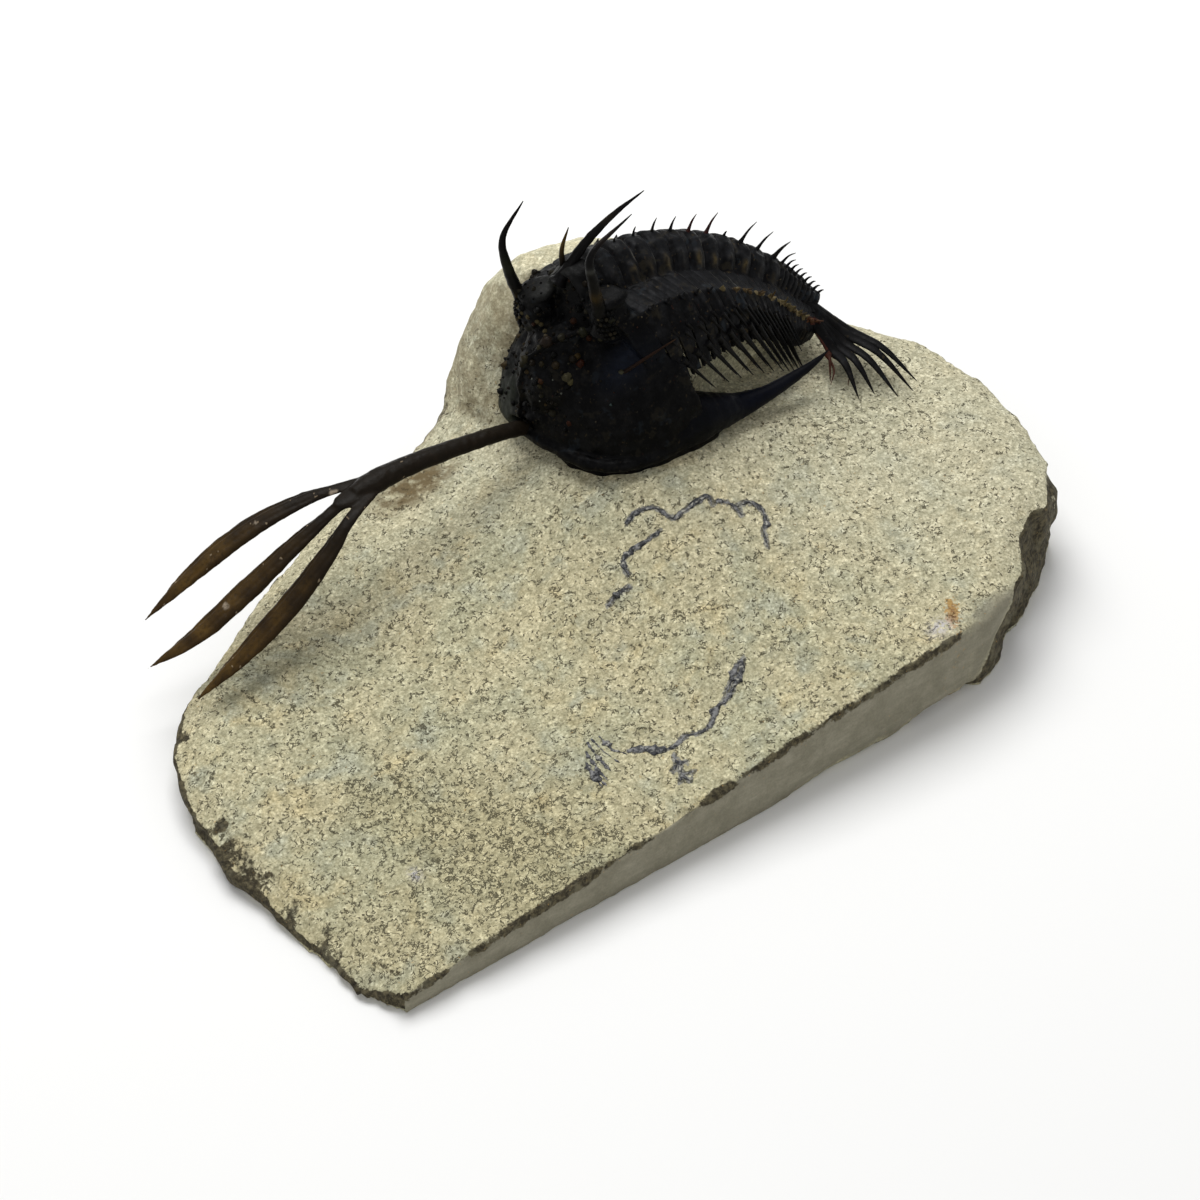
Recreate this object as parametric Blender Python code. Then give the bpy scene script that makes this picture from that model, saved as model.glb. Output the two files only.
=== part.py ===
"""Spiny trilobite fossil with a three-pronged head fork, on its block of pale limestone.

+X runs along the sawn front face towards the tail, +Y away from that face and +Z up. The origin is
on the flat underside. Sizes are written in millimetres, and MM makes them metres.
"""
import math

import bmesh
import bpy
from mathutils import Matrix, Vector, noise

MM = 0.001
GAP = 0.3           # clear space between neighbouring plates
STONE_GAP = 0.5     # clear space between a plate and the stone below it

# The stone: plan corners of the underside, the sawn front face first
STONE_CORNERS = [
    (-51.5, -31), (38, -31), (44, -29), (51, -24.5), (58, -20), (63, -15), (66, -5), (67, 4),
    (65.5, 14), (60.5, 25), (52.5, 34), (42, 42), (31, 48), (21, 50), (12, 48), (6, 43.5),
    (-3, 40.5), (-12, 39.5), (-19, 36), (-34, 29), (-46, 23), (-53, 16), (-56, 8), (-56.5, -1),
    (-56, -14), (-54, -25)]
STONE_CENTRE = (12.0, 8.0)
STONE_STEP = 8.0        # longest side of a face along the outline
FRONT_Y = -31.0
FRONT_LEFT_TOP = 2.9    # height of the sawn face at its low end
FRONT_RISE = 0.108      # rise of its top edge for each millimetre of length
STONE_LEFT_X = -51.5
BACK_RISE = (3.6, 0.4)  # how much higher the back is than the front, at the left and right
MOUND = dict(at=(20, 17), high=7.7, left=20, right=28, near=28, far=16, power=2.0)
HUMP = dict(at=(23, 40), high=20.5, left=12.4, right=19, near=8.5, far=9, power=3.2)

# The body's middle line along the back, from the rear edge of the head to the tail
CREST_START = (18.2, 27.6, 43.0)
CREST_LENGTH = 46.0
HEADING = (2.0, -38.0)      # plan direction at the head and at the tail, degrees
HEADING_POWER = 1.6
PITCH = (-8.0, 55.0)        # downward slope at the head and at the tail, degrees
PITCH_POWER = 0.7
PLANE_PITCH = (0.0, 50.0)   # lean of the plates' edges, at the head and at the tail
ROLL = (-8.0, -4.0)         # the near side is raised a little
SEGMENTS = 11
SEGMENT_LENGTH = 3.05
# Profile of a segment along the body: distance from its front edge, dip of its top
SEGMENT_PROFILE = [(GAP / 2, 0.5), (0.8, 0.0), (2.3, 0.0), (SEGMENT_LENGTH - GAP / 2, 0.35)]
# Profile of the tail shield: distance from its front edge, dip of its top, width against the front
TAIL_PROFILE = [(GAP / 2, 0.3, 1.0), (1.6, 0.0, 0.97), (4.0, 0.1, 0.9), (6.4, 0.3, 0.78), (8.6, 0.8, 0.6)]
# Profile of the nape ring, ahead of the first segment: distance back, dip of its top
NAPE_PROFILE = [(-3.6, 0.9), (-2.9, 0.0), (-1.2, 0.0), (0.5, 0.4)]
CREST_SPINES = (0.6, 0.7, 1.3, 1.0, 1.2, 1.1, 2.0, 0.9, 2.4, 1.9, 1.7)
TAIL_CREST_SPINES = (1.2, 0.9, 0.8, 0.6, 0.6)
TAIL_SCALE = 0.62           # width of the tail shield's front edge against the first segment

# Half of a segment's cross-section: distance out, height of the top, height of the underside
SECTION = [(0.0, 0.0, -9.0), (1.7, -0.45, -9.0), (3.3, -1.8, -9.0), (4.4, -3.8, -9.0),
           (9.2, -5.2, -9.0), (9.35, -5.3, -12.6), (11.3, -7.6, -12.9), (12.4, -12.0, -13.6)]
LOBE = 4.4          # half-width of the middle lobe
ELBOW = 9.2         # where a side plate bends down
SKIRT_DROP = 4.0    # extra length of the first segment's side plates
SKIRT_REACH = 20.0  # distance along the back over which that dies out
PEDESTAL_HALF = 8.6
PEDESTAL_TOP = -9.5
PEDESTAL_ROOT = (22.0, 15.0)    # how far its sides lean with the body, at the head and at the tail
PEDESTAL_FLOOR = 6.0
PEDESTAL_STATIONS = (2.8, 9.0, 15.0, 22.0, 29.0, 34.0, 37.5)

# The head: its frame stands at the middle of the front margin
HEAD_AT = (7.6, 27.0, 19.6)
HEAD_TURN = 2.0
HEAD_ROLL = -11.0

# Middle lines of the horns of the head: name, places, root radius, rings
HORNS = [
    ("far_eye_horn", [(12.4, 32.6, 34.5), (10.7, 34.0, 39.8), (10.4, 35.0, 44.4), (12.7, 33.6, 49.6)], 0.95, 7),
    ("near_eye_horn", [(15.0, 20.0, 38.0), (13.2, 19.4, 45.0), (12.9, 19.2, 50.5), (19.1, 19.8, 53.3)], 1.0, 7),
    ("nape_horn", [(14.8, 28.0, 40.5), (19.0, 27.6, 44.9), (22.7, 26.4, 48.0), (26.4, 25.0, 50.6)], 0.85, 7),
    ("brow_spine", [(16.3, 29.4, 40.5), (16.0, 29.2, 43.9), (16.9, 29.0, 46.5)], 0.6, 4),
    ("cheek_spine", [(12.3, 14.0, 32.5), (15.6, 12.4, 35.9), (20.9, 11.4, 39.1)], 0.5, 4)]
RIM_SPINE = [(19.5, 14.6, 21.5), (24, 12.0, 22.4), (32, 11.7, 22.6), (40.5, 12.6, 22.3), (48.6, 14.2, 21.8)]
EYES = [(8.6, 6.4, 14.6), (5.8, -5.6, 13.0)]   # near and far, in the head's frame
# Cross-sections of the head shield: distance back, half-width near and far, height
HOOD = [(0.2, 2.6, 2.6, 1.6), (1.4, 7.6, 5.6, 5.0), (3.6, 12.4, 7.6, 9.5), (7.0, 15.6, 8.8, 13.4),
        (11.0, 17.0, 9.6, 16.4), (16.0, 17.2, 10.0, 18.4), (26.0, 16.8, 10.0, 18.4)]
HOOD_ROUNDNESS = 2.4
HOOD_SIDES = 12
# The thickened front margin of the head, where it meets the stone
RIM = [(26, 11.4, 21.7), (19, 10.6, 21.2), (13.4, 11.6, 20.8), (9.4, 16.2, 20.3), (7.4, 21.5, 19.9),
       (6.8, 26.5, 19.6), (7.4, 30.5, 19.0), (9.2, 34.0, 18.4)]
# The tail fan's near spines: root and tip of each
FAN = [((54.5, 17.5, 20.6), (57.4, 5.6, 17.6)), ((53.8, 17.0, 20.6), (55.9, 4.7, 17.3)),
       ((52.6, 16.6, 20.4), (53.5, 5.0, 17.3)), ((51.6, 16.2, 20.3), (51.1, 7.0, 17.6)),
       ((50.6, 15.8, 20.3), (48.7, 7.5, 17.8)), ((49.9, 15.8, 20.4), (47.1, 11.5, 18.8))]

COLOURS = {"stone": (0.55, 0.52, 0.40, 1), "shell": (0.02, 0.018, 0.016, 1)}


def smooth(t):
    """Ease from 0 to 1."""
    t = min(1.0, max(0.0, t))
    return t * t * (3 - 2 * t)


def lerp(pair, t):
    """Value between two ends."""
    return pair[0] + (pair[1] - pair[0]) * t


def swell(form, x, y):
    """A rounded rise of the stone, with its own reach on each of four sides."""
    dx = x - form["at"][0]
    dy = y - form["at"][1]
    dx /= form["left"] if dx < 0 else form["right"]
    dy /= form["near"] if dy < 0 else form["far"]
    return form["high"] * math.exp(-math.hypot(dx, dy) ** form["power"])


def stone_height(x, y):
    """Height of the stone's upper surface."""
    base = FRONT_LEFT_TOP + FRONT_RISE * (x - STONE_LEFT_X)
    base += lerp(BACK_RISE, smooth((x + 10) / 60)) * smooth((y - FRONT_Y) / 60)
    grain = 0.5 * noise.noise(Vector((x * 0.11, y * 0.11, 3.0)))
    return base + grain + swell(MOUND, x, y) + swell(HUMP, x, y)


def crest_frame(along):
    """Point, tail-ward, near-side and outward directions of the back at a distance along it."""
    point = Vector(CREST_START)
    steps = max(1, round(abs(along) / 0.5))
    step = along / steps
    for i in range(steps):
        point += crest_axes((i + 0.5) * step, PITCH, PITCH_POWER)[0] * step
    return (point, *crest_axes(along, PLANE_PITCH, 1.0))


def crest_axes(along, pitches, power):
    """Tail-ward, near-side and outward directions, sloping between two pitches on the way back."""
    t = min(1.0, max(0.0, along / CREST_LENGTH))
    heading = math.radians(lerp(HEADING, t ** HEADING_POWER))
    pitch = math.radians(lerp(pitches, t ** power))
    roll = math.radians(-lerp(ROLL, t))
    flat = Vector((math.cos(heading), math.sin(heading), 0))
    tail = flat * math.cos(pitch) - Vector((0, 0, math.sin(pitch)))
    near = Vector((math.sin(heading), -math.cos(heading), 0))
    out = near.cross(tail)
    return tail, near * math.cos(roll) + out * math.sin(roll), out * math.cos(roll) - near * math.sin(roll)


def sweep(wide):
    """How far a cross-section trails back at a distance from the middle line."""
    return 0.3 * max(0, abs(wide) - LOBE) + 0.6 * max(0, abs(wide) - ELBOW)


def body_point(along, wide, high, scale=1.0):
    """World point of the body; wide is positive on the near side."""
    point, tail, near, out = crest_frame(along)
    return point + scale * (wide * near + high * out + sweep(wide) * tail)


def skirt(along, wide):
    """How much further the side plates of the front segments hang down, beyond their bend."""
    return SKIRT_DROP * max(0.0, 1 - along / SKIRT_REACH) * max(0.0, (abs(wide) - ELBOW) / 3.2)


def body_scale(along):
    """Size of the cross-section along the body."""
    t = min(1.0, along / (SEGMENTS * SEGMENT_LENGTH))
    return 1 - (1 - TAIL_SCALE) * max(0.0, t) ** 1.8


def material(name):
    """Principled material of one sub-part."""
    made = bpy.data.materials.new(name)
    made.use_nodes = True
    shader = made.node_tree.nodes["Principled BSDF"]
    stone = name == "matrix"
    shader.inputs["Base Color"].default_value = COLOURS["stone" if stone else "shell"]
    shader.inputs["Roughness"].default_value = 0.9 if stone else 0.45
    shader.inputs["Metallic"].default_value = 0.0
    return made


def add_mesh(name, points, faces, collection):
    """Object from points in millimetres."""
    mesh = bpy.data.meshes.new(name)
    mesh.from_pydata([tuple(c * MM for c in p) for p in points], [], faces)
    obj = bpy.data.objects.new(name, mesh)
    collection.objects.link(obj)
    shape = bmesh.new()
    shape.from_mesh(mesh)
    bmesh.ops.recalc_face_normals(shape, faces=shape.faces)
    shape.to_mesh(mesh)
    shape.free()
    if collection is cutters:
        obj.hide_render = True
        obj.display_type = "WIRE"
    return obj


def loft(name, rings, collection):
    """Skin rings of equal point counts; each end is closed by one face."""
    count = len(rings[0])
    points = [p for ring in rings for p in ring]
    faces = []
    for r in range(len(rings) - 1):
        for k in range(count):
            a, b = r * count + k, r * count + (k + 1) % count
            faces.append((a, b, b + count, a + count))
    faces.append(tuple(range(count)))
    faces.append(tuple(range((len(rings) - 1) * count, len(rings) * count)))
    obj = add_mesh(name, points, faces, collection)
    shape = bmesh.new()
    shape.from_mesh(obj.data)
    bmesh.ops.triangulate(shape, faces=shape.faces)
    shape.to_mesh(obj.data)
    shape.free()
    return obj


def ellipsoid(name, centre, radii, turn=None, segments=18, rings=10):
    """A ball stretched in its own axes, in millimetres."""
    shape = bmesh.new()
    bmesh.ops.create_uvsphere(shape, u_segments=segments, v_segments=rings, radius=MM)
    place = Matrix.Translation(Vector(centre) * MM) @ (turn or Matrix.Identity(4))
    bmesh.ops.transform(shape, matrix=place @ Matrix.Diagonal((*radii, 1)), verts=shape.verts)
    mesh = bpy.data.meshes.new(name)
    shape.to_mesh(mesh)
    shape.free()
    obj = bpy.data.objects.new(name, mesh)
    cutters.objects.link(obj)
    obj.hide_render = True
    obj.display_type = "WIRE"
    return obj


def smooth_path(points, count):
    """Points evenly spread on a smooth line through the given ones."""
    pts = [Vector(p) for p in points]
    pts = [2 * pts[0] - pts[1]] + pts + [2 * pts[-1] - pts[-2]]
    out = []
    for i in range(count):
        t = i / (count - 1) * (len(points) - 1)
        k = min(int(t), len(points) - 2)
        f = t - k
        a, b, c, d = pts[k:k + 4]
        out.append(0.5 * (2 * b + (c - a) * f + (2 * a - 5 * b + 4 * c - d) * f * f
                          + (3 * b - a - 3 * c + d) * f ** 3))
    return out


def horn(name, points, thick, count=4, flat=1.0, tip=0.14, sides=1):
    """A tapering horn or spine along a smooth line; thick is its widest radius at the root."""
    route = smooth_path(points, count)
    curve = bpy.data.curves.new(name, "CURVE")
    curve.dimensions = "3D"
    curve.bevel_depth = MM
    curve.bevel_resolution = sides
    curve.use_fill_caps = True
    spline = curve.splines.new("POLY")
    spline.points.add(len(route) - 1)
    for i, (point, place) in enumerate(zip(spline.points, route)):
        point.co = (*(place * MM), 1)
        t = i / (len(route) - 1)
        point.radius = thick(t) if callable(thick) else tip + (thick - tip) * (1 - t) ** 0.8
    obj = bpy.data.objects.new(name + "_curve", curve)
    cutters.objects.link(obj)
    made = bpy.data.objects.new(name, evaluated_mesh(obj))
    bpy.data.objects.remove(obj)
    cutters.objects.link(made)
    made.hide_render = True
    made.display_type = "WIRE"
    if flat != 1.0:
        flatten(made.data, route, flat)
    return made


def flatten(mesh, route, flat):
    """Thin a horn upright, so that it is a blade lying level."""
    for vertex in mesh.vertices:
        nearest = min(route, key=lambda p: (p * MM - vertex.co).length)
        vertex.co.z = nearest.z * MM + (vertex.co.z - nearest.z * MM) * flat


def evaluated_mesh(obj):
    """The object's mesh with its modifiers applied and its seams welded."""
    bpy.context.view_layer.update()
    seen = obj.evaluated_get(bpy.context.evaluated_depsgraph_get())
    mesh = bpy.data.meshes.new_from_object(seen)
    shape = bmesh.new()
    shape.from_mesh(mesh)
    bmesh.ops.remove_doubles(shape, verts=shape.verts, dist=0.00001)
    bmesh.ops.recalc_face_normals(shape, faces=shape.faces)
    shape.to_mesh(mesh)
    shape.free()
    return mesh


def combine(obj, others, operation="UNION"):
    """Join or cut with each of the others in turn, and apply it."""
    for other in others:
        step = obj.modifiers.new(operation.lower(), "BOOLEAN")
        step.operation = operation
        step.solver = "EXACT"
        step.object = other
        step.use_self = False
        obj.data = evaluated_mesh(obj)
        obj.modifiers.clear()


def merge(name, pieces):
    """One object of several separate spines, to be joined in one step."""
    shape = bmesh.new()
    for piece in pieces:
        shape.from_mesh(piece.data)
        bpy.data.objects.remove(piece)
    mesh = bpy.data.meshes.new(name)
    shape.to_mesh(mesh)
    shape.free()
    obj = bpy.data.objects.new(name, mesh)
    cutters.objects.link(obj)
    obj.hide_render = True
    obj.display_type = "WIRE"
    return obj


def keep_largest(obj):
    """Drop crumbs that a cut left loose."""
    shape = bmesh.new()
    shape.from_mesh(obj.data)
    left = set(shape.verts)
    islands = []
    while left:
        todo = [left.pop()]
        island = set(todo)
        while todo:
            for edge in todo.pop().link_edges:
                for vert in edge.verts:
                    if vert in left:
                        left.discard(vert)
                        island.add(vert)
                        todo.append(vert)
        islands.append(island)
    main = max(islands, key=len)
    bmesh.ops.delete(shape, geom=[v for v in shape.verts if v not in main], context="VERTS")
    shape.to_mesh(obj.data)
    shape.free()


def finish(obj, angle=40):
    """Material, collection and smooth shading of a finished sub-part."""
    obj.data.materials.clear()
    obj.data.materials.append(material(obj.name))
    obj.data.shade_smooth()
    obj.data.set_sharp_from_angle(angle=math.radians(angle))
    if obj.name not in part.objects:
        part.objects.link(obj)
    if obj.name in cutters.objects:
        cutters.objects.unlink(obj)
    obj.hide_render = False
    obj.display_type = "TEXTURED"


def stone_outline():
    """Outline points with sides of at most STONE_STEP, roughened where the stone is broken."""
    points = []
    for (ax, ay), (bx, by) in zip(STONE_CORNERS, STONE_CORNERS[1:] + STONE_CORNERS[:1]):
        parts = math.ceil(math.hypot(bx - ax, by - ay) / STONE_STEP)
        sawn = ay == FRONT_Y and by == FRONT_Y
        for k in range(parts):
            x, y = lerp((ax, bx), k / parts), lerp((ay, by), k / parts)
            rough = 0 if sawn else 0.9 * noise.noise(Vector((x * 0.23, y * 0.23, 0)))
            points.append((x + rough, y + rough))
    return points


def stone_rings(outline, lift=0.0, floor=0.0):
    """Rings of the stone from its middle out to the rim, then down to the floor."""
    cx, cy = STONE_CENTRE
    rings = []
    for u in (0.06, 0.17, 0.28, 0.39, 0.5, 0.6, 0.7, 0.79, 0.88, 0.95, 1.0):
        ring = []
        for x, y in outline:
            px, py = cx + (x - cx) * u, cy + (y - cy) * u
            sawn = y == FRONT_Y
            worn = 0 if sawn else 1.6 * max(0, (u - 0.9) / 0.1) ** 2
            ring.append((px, py, max(1.0, stone_height(px, py) - worn) + lift))
        rings.append(ring)
    for depth in (0.55, 0.0):
        ring = []
        for (x, y), (_, _, top) in zip(outline, rings[10]):
            bulge = 0 if y == FRONT_Y else 0.8 * noise.noise(Vector((x * 0.2, y * 0.2, 9 + depth)))
            ring.append((x + bulge, y + bulge, top * depth if depth else floor))
        rings.append(ring)
    return rings


def pedestal(along_points):
    """The ridge of stone that carries the body, rooted deep in the block."""
    half = PEDESTAL_HALF
    rings = []
    for along in along_points:
        scale = body_scale(along)
        point, _, near, out = crest_frame(along)
        root = lerp(PEDESTAL_ROOT, along / CREST_LENGTH) / scale
        shape = [(half, -root), (half, PEDESTAL_TOP - 2.6), (half - 1.6, PEDESTAL_TOP),
                 (1.6 - half, PEDESTAL_TOP), (-half, PEDESTAL_TOP - 2.6), (-half, -root)]
        ring = [point + scale * (wide * near + high * out) for wide, high in shape]
        feet = [Vector((p.x, p.y, PEDESTAL_FLOOR)) for p in (ring[-1], ring[0])]
        rings.append(ring + feet)
    return rings


def build_stone():
    """The limestone block, and the copy of it, raised by the gap, that trims what rests on it."""
    outline = stone_outline()
    stone = loft("matrix", stone_rings(outline), part)
    raised = loft("stone_trim", stone_rings(outline, STONE_GAP, -20.0), cutters)
    combine(stone, [loft("ridge", pedestal(PEDESTAL_STATIONS), cutters)])
    finish(stone, 35)
    return raised


def ring_of(along, dip, scale, section):
    """Closed cross-section: the top from the near edge to the far edge, then the underside."""
    half = section[::-1] + [(-w, top, under) for w, top, under in section[1:]]
    top = [body_point(along, w, t - dip - skirt(along, w), scale) for w, t, _ in half]
    under = [body_point(along, w, u - skirt(along, w), scale) for w, _, u in half]
    return top, under


def plate(name, stations, section=SECTION):
    """A curved plate lofted through cross-sections, with ends made of upright strips."""
    points, faces = [], []
    count = 2 * len(section) - 1
    for along, dip, scale in stations:
        top, under = ring_of(along, dip, scale, section)
        points += top + under
    width = 2 * count
    for s in range(len(stations) - 1):
        a, b = s * width, (s + 1) * width
        for k in range(count - 1):
            faces.append((a + k, a + k + 1, b + k + 1, b + k))
            faces.append((a + count + k + 1, a + count + k, b + count + k, b + count + k + 1))
        faces.append((a, b, b + count, a + count))
        faces.append((a + count - 1, a + width - 1, b + width - 1, b + count - 1))
    for base in (0, (len(stations) - 1) * width):
        for k in range(count - 1):
            faces.append((base + k, base + k + 1, base + count + k + 1, base + count + k))
    return add_mesh(name, points, faces, cutters)


def segment_spines(index, start):
    """Spines of one thorax segment: on the crest, at both elbows and at both tips."""
    mid = start + SEGMENT_LENGTH * 0.6
    scale = body_scale(mid)
    point, tail, near, out = crest_frame(mid)
    tall = CREST_SPINES[index]
    spines = [horn("crest_spine", [point - 0.5 * out, point + 0.5 * tall * out + 0.1 * tall * tail,
                                   point + tall * out + 0.45 * tall * tail], 0.42, 4, sides=0, tip=0.1)]
    for side in (1, -1):
        root = body_point(mid, side * ELBOW, SECTION[4][1] - 0.5, scale)
        away = (side * near * 0.5 + out * 0.8 + tail * 0.5).normalized()
        spines.append(horn("elbow_spine", [root, root + 2.0 * away], 0.55, 2, sides=0))
        hang = skirt(mid, 12.4)
        root = body_point(mid, side * 11.9, -12.3 - hang, scale)
        down = (side * near * 0.28 - out * 0.9 + tail * 0.34).normalized()
        reach = (8.2 - 0.9 * hang) * scale
        spines.append(horn("side_spine", [root, root + 0.4 * reach * down,
                                          root + 0.9 * reach * down + 0.25 * reach * tail], 0.8, 4, sides=0))
    return merge(f"spines_{index}", spines)


def build_thorax(trim):
    """Eleven segments, each one plate with its own spines, clear of the cheek spine."""
    clear = horn("cheek_clearance", RIM_SPINE, lambda t: 0.4 + rim_spine_thick(t), 8, sides=2)
    for index in range(SEGMENTS):
        start = index * SEGMENT_LENGTH
        stations = [(start + at, dip, body_scale(start + at)) for at, dip in SEGMENT_PROFILE]
        obj = plate(f"thorax_segment_{index + 1:02d}", stations)
        combine(obj, [segment_spines(index, start)])
        combine(obj, [trim, clear], "DIFFERENCE")
        keep_largest(obj)
        finish(obj)


def build_tail(trim):
    """The tail shield with its fan of flat spines."""
    start = SEGMENTS * SEGMENT_LENGTH
    stations = [(start + at, dip, TAIL_SCALE * size) for at, dip, size in TAIL_PROFILE]
    obj = plate("pygidium", stations)
    spines = []
    for root, tip in FAN:
        root, tip = Vector(root), Vector(tip)
        middle = root.lerp(tip, 0.5) + Vector((0.4, 0.3, 0.9))
        inner = body_point(start + 5.5, 1.2, -3.6, TAIL_SCALE)
        spines.append(horn("tail_spine", [inner, root, middle, tip], 0.75, 5, flat=0.55))
    for k, tall in enumerate(TAIL_CREST_SPINES):
        point, tail, near, out = crest_frame(start + 1.0 + 1.5 * k)
        root = point - 0.6 * out
        tip = root + (0.6 + tall) * out + 0.4 * tall * tail
        spines.append(horn("crest_spine", [root, tip], 0.4, 2, sides=0))
    combine(obj, spines)
    combine(obj, [trim], "DIFFERENCE")
    keep_largest(obj)
    finish(obj)


def head_axes():
    """The head's frame: back along the body, to the near side and up."""
    turn, roll = math.radians(HEAD_TURN), math.radians(-HEAD_ROLL)
    back = Vector((math.cos(turn), math.sin(turn), 0))
    near = Vector((math.sin(turn), -math.cos(turn), 0))
    up = near.cross(back)
    return back, near * math.cos(roll) + up * math.sin(roll), up * math.cos(roll) - near * math.sin(roll)


def head_point(x, n, u):
    """World point of the head, x back, n to the near side, u up."""
    back, near, up = head_axes()
    return Vector(HEAD_AT) + x * back + n * near + u * up


def head_ball(name, at, radii, tilt=0.0, segments=18, rings=10):
    """A rounded lobe of the head; tilt leans it back, in degrees."""
    back, near, up = head_axes()
    turn = Matrix((back, near, up)).transposed().to_4x4() @ Matrix.Rotation(math.radians(tilt), 4, "Y")
    if turn.determinant() < 0:
        turn = turn @ Matrix.Diagonal((1, -1, 1, 1))
    return ellipsoid(name, head_point(*at), radii, turn, segments, rings)


def behind_head():
    """A cutter that ends the head on the first segment's edge, built from side to side."""
    point, tail, near, out = crest_frame(0.0)
    rings = []
    for wide in (30, 16, ELBOW, LOBE, 0, -LOBE, -ELBOW, -16, -30):
        edge = point + wide * near + (sweep(min(16, abs(wide))) - GAP / 2) * tail
        top, under = edge + 25 * out, edge - 45 * out
        rings.append([top, top + 40 * tail, under + 40 * tail, under])
    return rings


def hood():
    """The vaulted head shield: near and far cheeks and the front slope."""
    rings = []
    for x, near, far, high in HOOD:
        ring = [head_point(x, near, -7.0)]
        for k in range(HOOD_SIDES + 1):
            angle = math.pi * k / HOOD_SIDES
            wide, up = math.cos(angle), math.sin(angle)
            bend = 2 / HOOD_ROUNDNESS
            n = abs(wide) ** bend * (near if wide > 0 else -far)
            ring.append(head_point(x, n, high * max(0.0, up) ** bend))
        ring.append(head_point(x, -far, -7.0))
        rings.append(ring)
    return loft("cephalon", rings, cutters)


def bumps():
    """Coarse round warts over the brow, in rows that widen forward."""
    found = []
    for row, (rise, count) in enumerate(((12, 3), (36, 3), (60, 2))):
        for k in range(count):
            side = k * 32 - 4 + 12 * (row % 2)
            a, b = math.radians(side), math.radians(rise)
            x = 7.2 - 7.4 * math.cos(b) * math.cos(a)
            found.append(head_ball("wart", (x, 0.6 + 7.0 * math.cos(b) * math.sin(a), 8.8 + 9.4 * math.sin(b)),
                                   (1.1, 1.1, 1.1), 0, 7, 4))
    return merge("warts", found)


def build_head(trim):
    """The head shield with its lobes, eyes, horns, cheek spine and fork."""
    head = hood()
    lobes = [head_ball("brow", (7.6, 0.6, 8.6), (7.4, 7.0, 9.6), 12, 16, 9),
             plate("nape", [(at, dip, 1.0) for at, dip in NAPE_PROFILE], SECTION[:5])]
    lobes += [head_ball("eye", place, (3.0, 2.8, 4.5), 0, 10, 6) for place in EYES]
    combine(head, lobes)
    combine(head, [horn("rim", RIM, lambda t: 1.1, 16)])
    combine(head, [bumps()])
    combine(head, [loft("behind", behind_head(), cutters)], "DIFFERENCE")
    combine(head, [horn_set()])
    combine(head, [fork()])
    combine(head, [trim], "DIFFERENCE")
    keep_largest(head)
    finish(head)


def rim_spine_thick(t):
    """Radius of the long cheek spine along it."""
    return 1.95 - 1.6 * t ** 1.8


def horn_set():
    """Horns over the eyes and the nape, the cheek spine and small spines, as one cutter."""
    horns = []
    for name, path, thick, count in HORNS:
        horns.append(horn(name, path, thick, count, sides=2 if thick > 0.7 else 1))
    horns.append(horn("rim_spine", RIM_SPINE, rim_spine_thick, 8, sides=2))
    return merge("horns", horns)


def fork():
    """The three-pronged fork in front of the head: a stem and three leaf-shaped tines."""
    stem = horn("fork_stem", [(11, 27, 18.6), (5, 26.9, 20.9), (-6, 26.6, 22.9), (-13, 26.7, 23.4),
                              (-21, 26.9, 22.9)], lambda t: 1.35 + 0.35 * t, 6, 0.75, sides=2)

    def leaf(t):
        return 0.25 + 1.55 * math.sin(math.pi * min(1, 0.12 + 0.88 * t)) ** 0.8

    tines = [[(-18.5, 27.5, 23.1), (-23, 30.3, 22.2), (-31, 32.3, 19.8), (-39, 32.8, 16.6), (-47.3, 32.2, 13)],
             [(-18.5, 26.9, 23.0), (-26, 26.7, 20.6), (-35, 26.3, 16.4), (-43, 26.3, 12.8), (-50, 27.3, 10.2)],
             [(-18.5, 26.2, 22.9), (-23, 23.6, 21.2), (-31, 21.6, 16.2), (-39, 20.7, 12.1), (-47.6, 20.2, 8.6)]]
    combine(stem, [horn("tine", tine, leaf, 8, 0.5, sides=2) for tine in tines])
    return stem


for old in list(bpy.data.objects):
    bpy.data.objects.remove(old, do_unlink=True)
part = bpy.data.collections.new("trilobite_fossil")
cutters = bpy.data.collections.new("cutters")
bpy.context.scene.collection.children.link(part)
bpy.context.scene.collection.children.link(cutters)

stone_trim = build_stone()
build_head(stone_trim)
build_thorax(stone_trim)
build_tail(stone_trim)
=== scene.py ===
"""The spiny trilobite on its limestone block: surfaces, finishes, floor, light and camera."""
import math
import random

import bpy
import numpy as np
from mathutils import Matrix, Vector, noise


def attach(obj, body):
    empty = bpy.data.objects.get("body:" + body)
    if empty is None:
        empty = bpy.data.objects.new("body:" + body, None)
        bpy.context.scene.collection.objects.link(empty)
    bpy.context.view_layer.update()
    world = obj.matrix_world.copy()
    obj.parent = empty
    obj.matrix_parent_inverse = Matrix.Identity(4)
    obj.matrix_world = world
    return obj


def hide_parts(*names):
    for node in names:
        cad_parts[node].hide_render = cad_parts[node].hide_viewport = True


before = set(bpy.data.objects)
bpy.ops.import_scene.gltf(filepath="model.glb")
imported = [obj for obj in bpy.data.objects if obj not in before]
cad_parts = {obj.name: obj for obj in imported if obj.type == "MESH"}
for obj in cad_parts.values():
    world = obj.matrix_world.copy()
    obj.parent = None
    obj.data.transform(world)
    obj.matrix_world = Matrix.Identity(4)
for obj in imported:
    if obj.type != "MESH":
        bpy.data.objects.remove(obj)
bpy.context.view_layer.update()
MM = 0.001

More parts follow.
